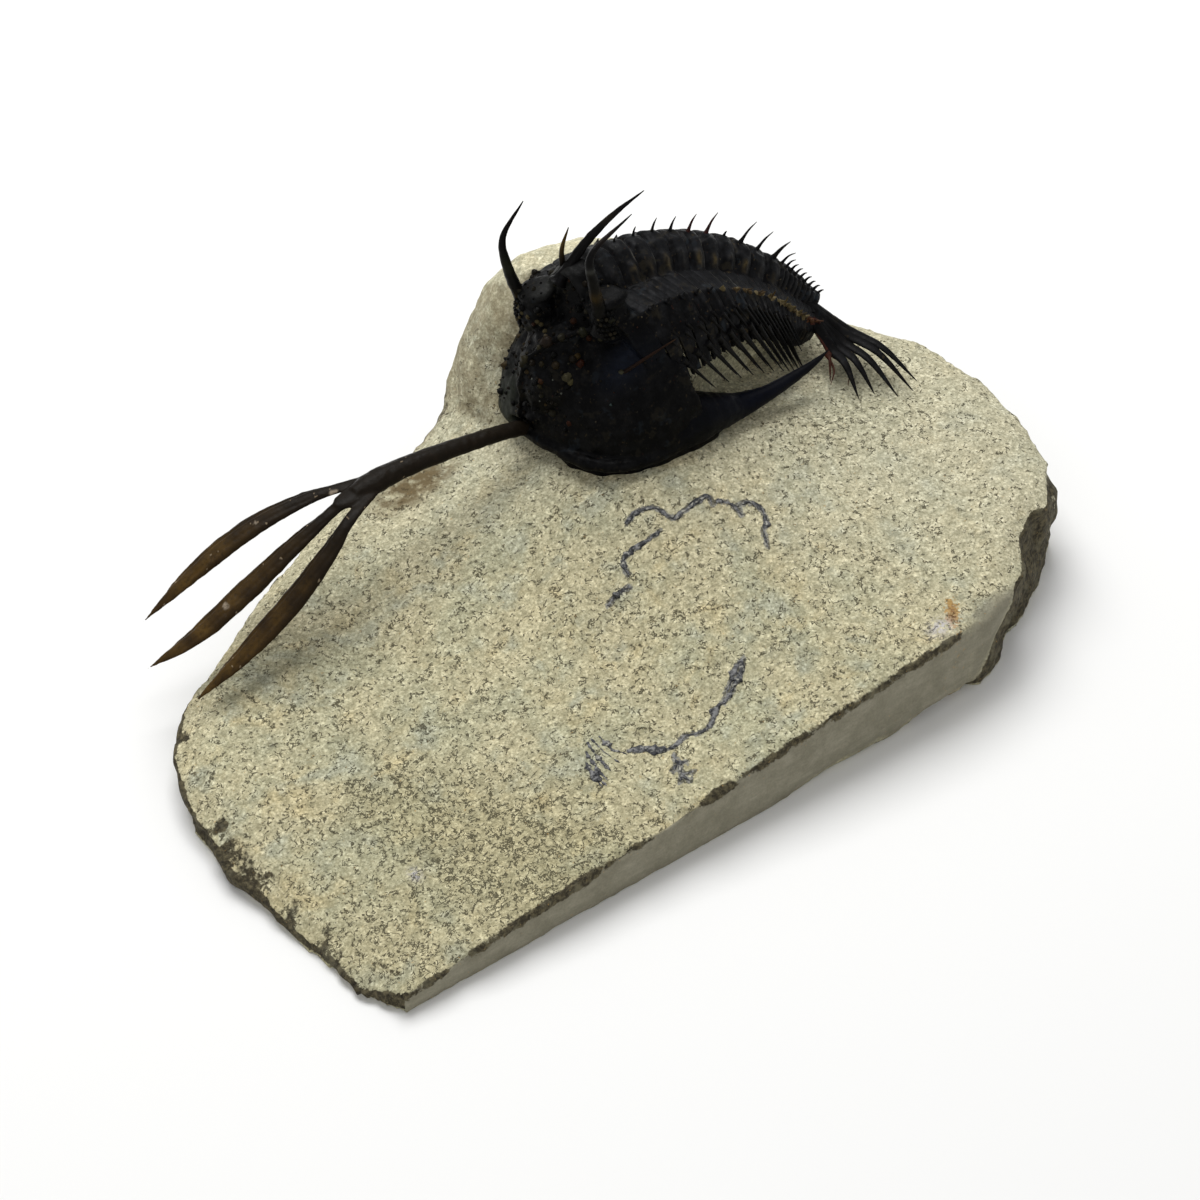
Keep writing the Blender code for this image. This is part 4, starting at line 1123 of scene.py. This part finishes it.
BLACK = (0.0032, 0.003, 0.003)
RED = (0.034, 0.009, 0.007)
GOLDS = ((0.095, 0.073, 0.033), (0.06, 0.039, 0.016), (0.15, 0.117, 0.06), (0.03, 0.02, 0.010))
REDS = ((0.060, 0.018, 0.010), (0.035, 0.013, 0.009), (0.075, 0.034, 0.016))


def crust(place, away, aside, size, tints, rng):
    """A small cluster of bent encrusted spines at the fold of a plate."""
    made = []
    for k in range(3):
        lean = (away + aside * rng.uniform(-0.7, 0.7)).normalized()
        long = size * (1.0, 0.6, 0.4)[k] * rng.uniform(0.75, 1.25)
        foot = place + aside * rng.uniform(-0.45, 0.45)
        bend = aside * rng.uniform(-0.2, 0.2) * long
        tint = rng.choice(tints)
        path = [foot - 0.2 * lean, foot + 0.5 * long * lean, foot + long * lean + bend]
        made.append(spine(path, 0.24 + 0.05 * k, plain(tint, 0.95), 8))
    for _ in range(2):
        at = place + aside * rng.uniform(-0.6, 0.6) + away * rng.uniform(-0.1, 0.2)
        lump = ball(at, (rng.uniform(0.2, 0.38),) * 3, None, 10, 7)
        paint(lump, np.tile((*rng.choice(tints), 0.9), (len(lump.data.vertices), 1)))
        made.append(lump)
    return made


def hanging(along, side, scale, place, shift, reach, size):
    """One long straight spine that hangs from the edge of a plate."""
    hang = SKIRT_DROP * max(0.0, 1 - along / SKIRT_REACH)
    _, tail, near, _ = (Vector(v) for v in crest(along))
    high = section_top(place) + 0.3 - hang * (place - ELBOW) / SKIRT_WIDTH
    base = Vector(body(along + shift, side * place, high, scale))
    down = (Vector((0, 0, -0.74)) + tail * 0.56 + side * near * 0.10).normalized()
    reach = reach * scale * (1 - 0.09 * hang)
    path = [base, base + 0.45 * reach * down + 0.1 * side * near, base + reach * down]
    return spine(path, size, plain(BLACK, 0.7), 16, 2, 0.05, 0.3)


# How ochre the knobs of each plate are
KNOB_OCHRE = (0.2, 0.9, 0.6, 1.0, 0.3, 1.2, 1.1, 0.2, 0.9, 0.3, 0.5)
# Spines that hang from a plate's edge: place, shift along the body, length and thickness
HANGING = ((11.9, 0.0, 12.4, 0.40), (11.3, -0.75, 10.2, 0.24), (12.1, 0.8, 9.0, 0.24),
           (10.9, 0.4, 8.4, 0.2))


def build_thorax(finish):
    """Eleven plates with their crest, elbow and side spines and the knobs in the axial furrows."""
    rng = random.Random(8)
    for index in range(SEGMENTS):
        start = index * SEGMENT_LENGTH
        pieces = [plate("thorax_plate", start, SEGMENT_LENGTH, body_scale, knobs=(1.15, KNOB_OCHRE[index]),
                        seed=index * 3.3)]
        mid = start + SEGMENT_LENGTH * 0.62
        scale = float(body_scale(mid))
        point, tail, near, out = (Vector(v) for v in crest(mid))
        tall = CREST_SPINES[index]
        path = [point - 0.5 * out, point + 0.5 * tall * out + 0.12 * tall * tail,
                point + 0.96 * tall * out + 0.32 * tall * tail]
        thick = 0.34 if index == 10 else 0.24
        tint = RED if index in (5, 6) else BLACK
        pieces.append(spine(path, thick, plain(tint, 0.8), 20, 3, 0.04, 1.3))
        for side in (1, -1):
            root = Vector(body(mid, side * ELBOW, section_top(ELBOW) - 0.05, scale))
            away = (side * near * 0.35 + out * 0.8 + tail * 0.4).normalized()
            if index > 4:
                pieces += crust(root, away, tail, 0.5 + 0.16 * (index - 4), GOLDS, rng)
            else:
                pieces.append(spine([root, root + 0.7 * away], 0.3, plain(BLACK, 0.9), 8))
            pieces += [hanging(mid, side, scale, *row) for row in HANGING]
        segment = join(f"thorax_plate_{index + 1:02d}", pieces)
        done(segment, "shell", finish, f"thorax_segment_{index + 1:02d}", angle=60)


FAN = [((54.5, 17.5, 20.6), (57.4, 5.6, 17.6)), ((53.8, 17.0, 20.6), (55.9, 4.7, 17.3)),
       ((52.6, 16.6, 20.4), (53.5, 5.0, 17.3)), ((51.6, 16.2, 20.3), (51.1, 7.0, 17.6)),
       ((50.6, 15.8, 20.3), (48.7, 7.5, 17.8)), ((49.9, 15.8, 20.4), (47.1, 11.5, 18.8))]
FAN_THORNS = (((50.2, 15.6, 19.6), (50.6, 12.0, 19.0), (48.6, 9.6, 18.6)),
              ((49.6, 15.4, 19.8), (48.6, 12.6, 19.4), (46.4, 10.6, 19.2)))
TAIL_RINGS = 9
TAIL_LENGTH = 8.7
TAIL_START = SEGMENTS * SEGMENT_LENGTH
TAIL_SIZES = [1.0, 0.97, 0.9, 0.78, 0.6]
TAIL_PLACES = [0.0, 1.6, 4.0, 6.4, 8.6]


def tail_scale(along):
    """Size of the cross-section along the tail."""
    return TAIL_SCALE * np.interp(along - TAIL_START, TAIL_PLACES, TAIL_SIZES)


def build_tail(finish):
    """The tail shield of fused rings, with its crest spines."""
    rng = random.Random(9)
    length = TAIL_LENGTH / TAIL_RINGS
    pieces = []
    for k, tall in enumerate(TAIL_CREST_SPINES):
        start = TAIL_START + k * length
        pieces.append(plate("tail_ring", start, length, tail_scale, -0.1, 1.1, 9, 0.5, 0.1, knobs=(0.2, 0.2),
                            seed=k * 2.0))
        mid = TAIL_START + (k + 0.6) * length
        point, tail, near, out = (Vector(v) for v in crest(mid))
        path = [point - 0.4 * out, point + 0.5 * tall * out + 0.1 * tall * tail,
                point + 0.9 * tall * out + 0.4 * tall * tail]
        pieces.append(spine(path, 0.2, plain(BLACK, 0.8), 12))
        for side in (1, -1):
            root = Vector(body(mid, side * ELBOW, section_top(ELBOW), float(tail_scale(start))))
            away = (side * near * 0.4 + out * 0.8 + tail * 0.3).normalized()
            pieces += crust(root, away, tail, 1.25 if k % 2 else 0.8, GOLDS if k < 6 else REDS, rng)
    rear = [tuple(body(TAIL_START + 8.0, w, -5.5 - 0.25 * abs(w), 0.34)) for w in (-8, -4, 0, 4, 8)]
    pieces.append(rod("tail_end", rear, lambda t: 0.9, 20, 4, 1.0, 0.1, plain(BLACK, 0.8)))
    done(join("tail_shield", pieces), "shell", finish, "pygidium", angle=60)


def build_fan(finish):
    """The flat blades and the two small thorns below the tail; the last blade is a thin red one."""
    blades = []
    inner = Vector(body(TAIL_START + 5.5, 1.2, -3.6, TAIL_SCALE))
    for root, tip in FAN:
        last = (root, tip) == FAN[-1]
        middle = Vector(root).lerp(Vector(tip), 0.5) + Vector((0.4, 0.3, 0.9))
        blades.append(rod("blade", [inner, root, middle, tip],
                          lambda t, w=0.30 if last else 0.85: 0.05 + w * (1 - t ** 2.2), 50, 5, 0.42, 0.08,
                          plain(REDS[0] if last else BLACK, 0.7)))
    for points in FAN_THORNS:
        blades.append(spine(points, 0.22, plain(REDS[0], 0.9), 16))
    done(join("tail_fan", blades), "shell", finish, "pygidium")


# Floor, light and camera

CAMERA_AZIMUTH, CAMERA_ELEVATION = math.radians(-37), math.radians(43)
CAMERA_DISTANCE, CAMERA_TARGET = 0.42, (0, 0, 0.014)
CAMERA_LENS, CAMERA_SENSOR = 100, 36
LAMP_TARGET = (0.005, 0, 0.01)
# Lamps: name, place, size and power
LAMPS = (("key", (0.10, 0.30, 0.62), 0.5, 4.6), ("fill", (-0.55, -0.5, 0.45), 0.6, 1.0))
ROOM_LIGHT = 0.42
FLOOR_WHITE = (0.86, 0.86, 0.85, 1)


def build_floor():
    """The pale floor, just below the stone."""
    bpy.ops.mesh.primitive_plane_add(size=4, location=(0, 0, -0.0001))
    floor = bpy.context.object
    floor.name = "floor"
    white = bpy.data.materials.new("floor_white")
    white.use_nodes = True
    white.node_tree.nodes["Principled BSDF"].inputs["Base Color"].default_value = FLOOR_WHITE
    white.node_tree.nodes["Principled BSDF"].inputs["Roughness"].default_value = 0.9
    floor.data.materials.append(white)


def light_room():
    """Soft white light from all round, and two large lamps."""
    world = bpy.data.worlds.new("soft_room")
    world.use_nodes = True
    background = world.node_tree.nodes["Background"]
    background.inputs[0].default_value = (1.0, 1.0, 1.0, 1)
    background.inputs[1].default_value = ROOM_LIGHT
    bpy.context.scene.world = world
    for name, at, size, power in LAMPS:
        lamp = bpy.data.lights.new(name, "AREA")
        lamp.size = size
        lamp.energy = power
        holder = linked(name, lamp)
        holder.location = at
        holder.rotation_euler = (Vector(LAMP_TARGET) - Vector(at)).to_track_quat("-Z", "Y").to_euler()


def set_camera():
    """The camera, where the photograph was taken from."""
    camera = bpy.data.cameras.new("camera")
    camera.lens = CAMERA_LENS
    camera.sensor_width = CAMERA_SENSOR
    camera.clip_start, camera.clip_end = 0.01, 10
    holder = linked("camera", camera)
    level = math.cos(CAMERA_ELEVATION)
    back = Vector((math.sin(CAMERA_AZIMUTH) * level, -math.cos(CAMERA_AZIMUTH) * level,
                   math.sin(CAMERA_ELEVATION)))
    holder.location = Vector(CAMERA_TARGET) + back * CAMERA_DISTANCE
    holder.rotation_euler = (-back).to_track_quat("-Z", "Y").to_euler()
    bpy.context.scene.camera = holder
    bpy.context.scene.view_settings.view_transform = "Standard"


build_floor()
light_room()
set_camera()
build_slivers(build_stone())
build_fork()
build_horns()
build_cheek_spine()
build_tubercles(build_head())
thorax_finish = shell("thorax_slate", (0.0025, 0.0025, 0.0028), (0.0105, 0.0108, 0.012), 0.8)
build_thorax(thorax_finish)
build_tail(thorax_finish)
build_fan(thorax_finish)
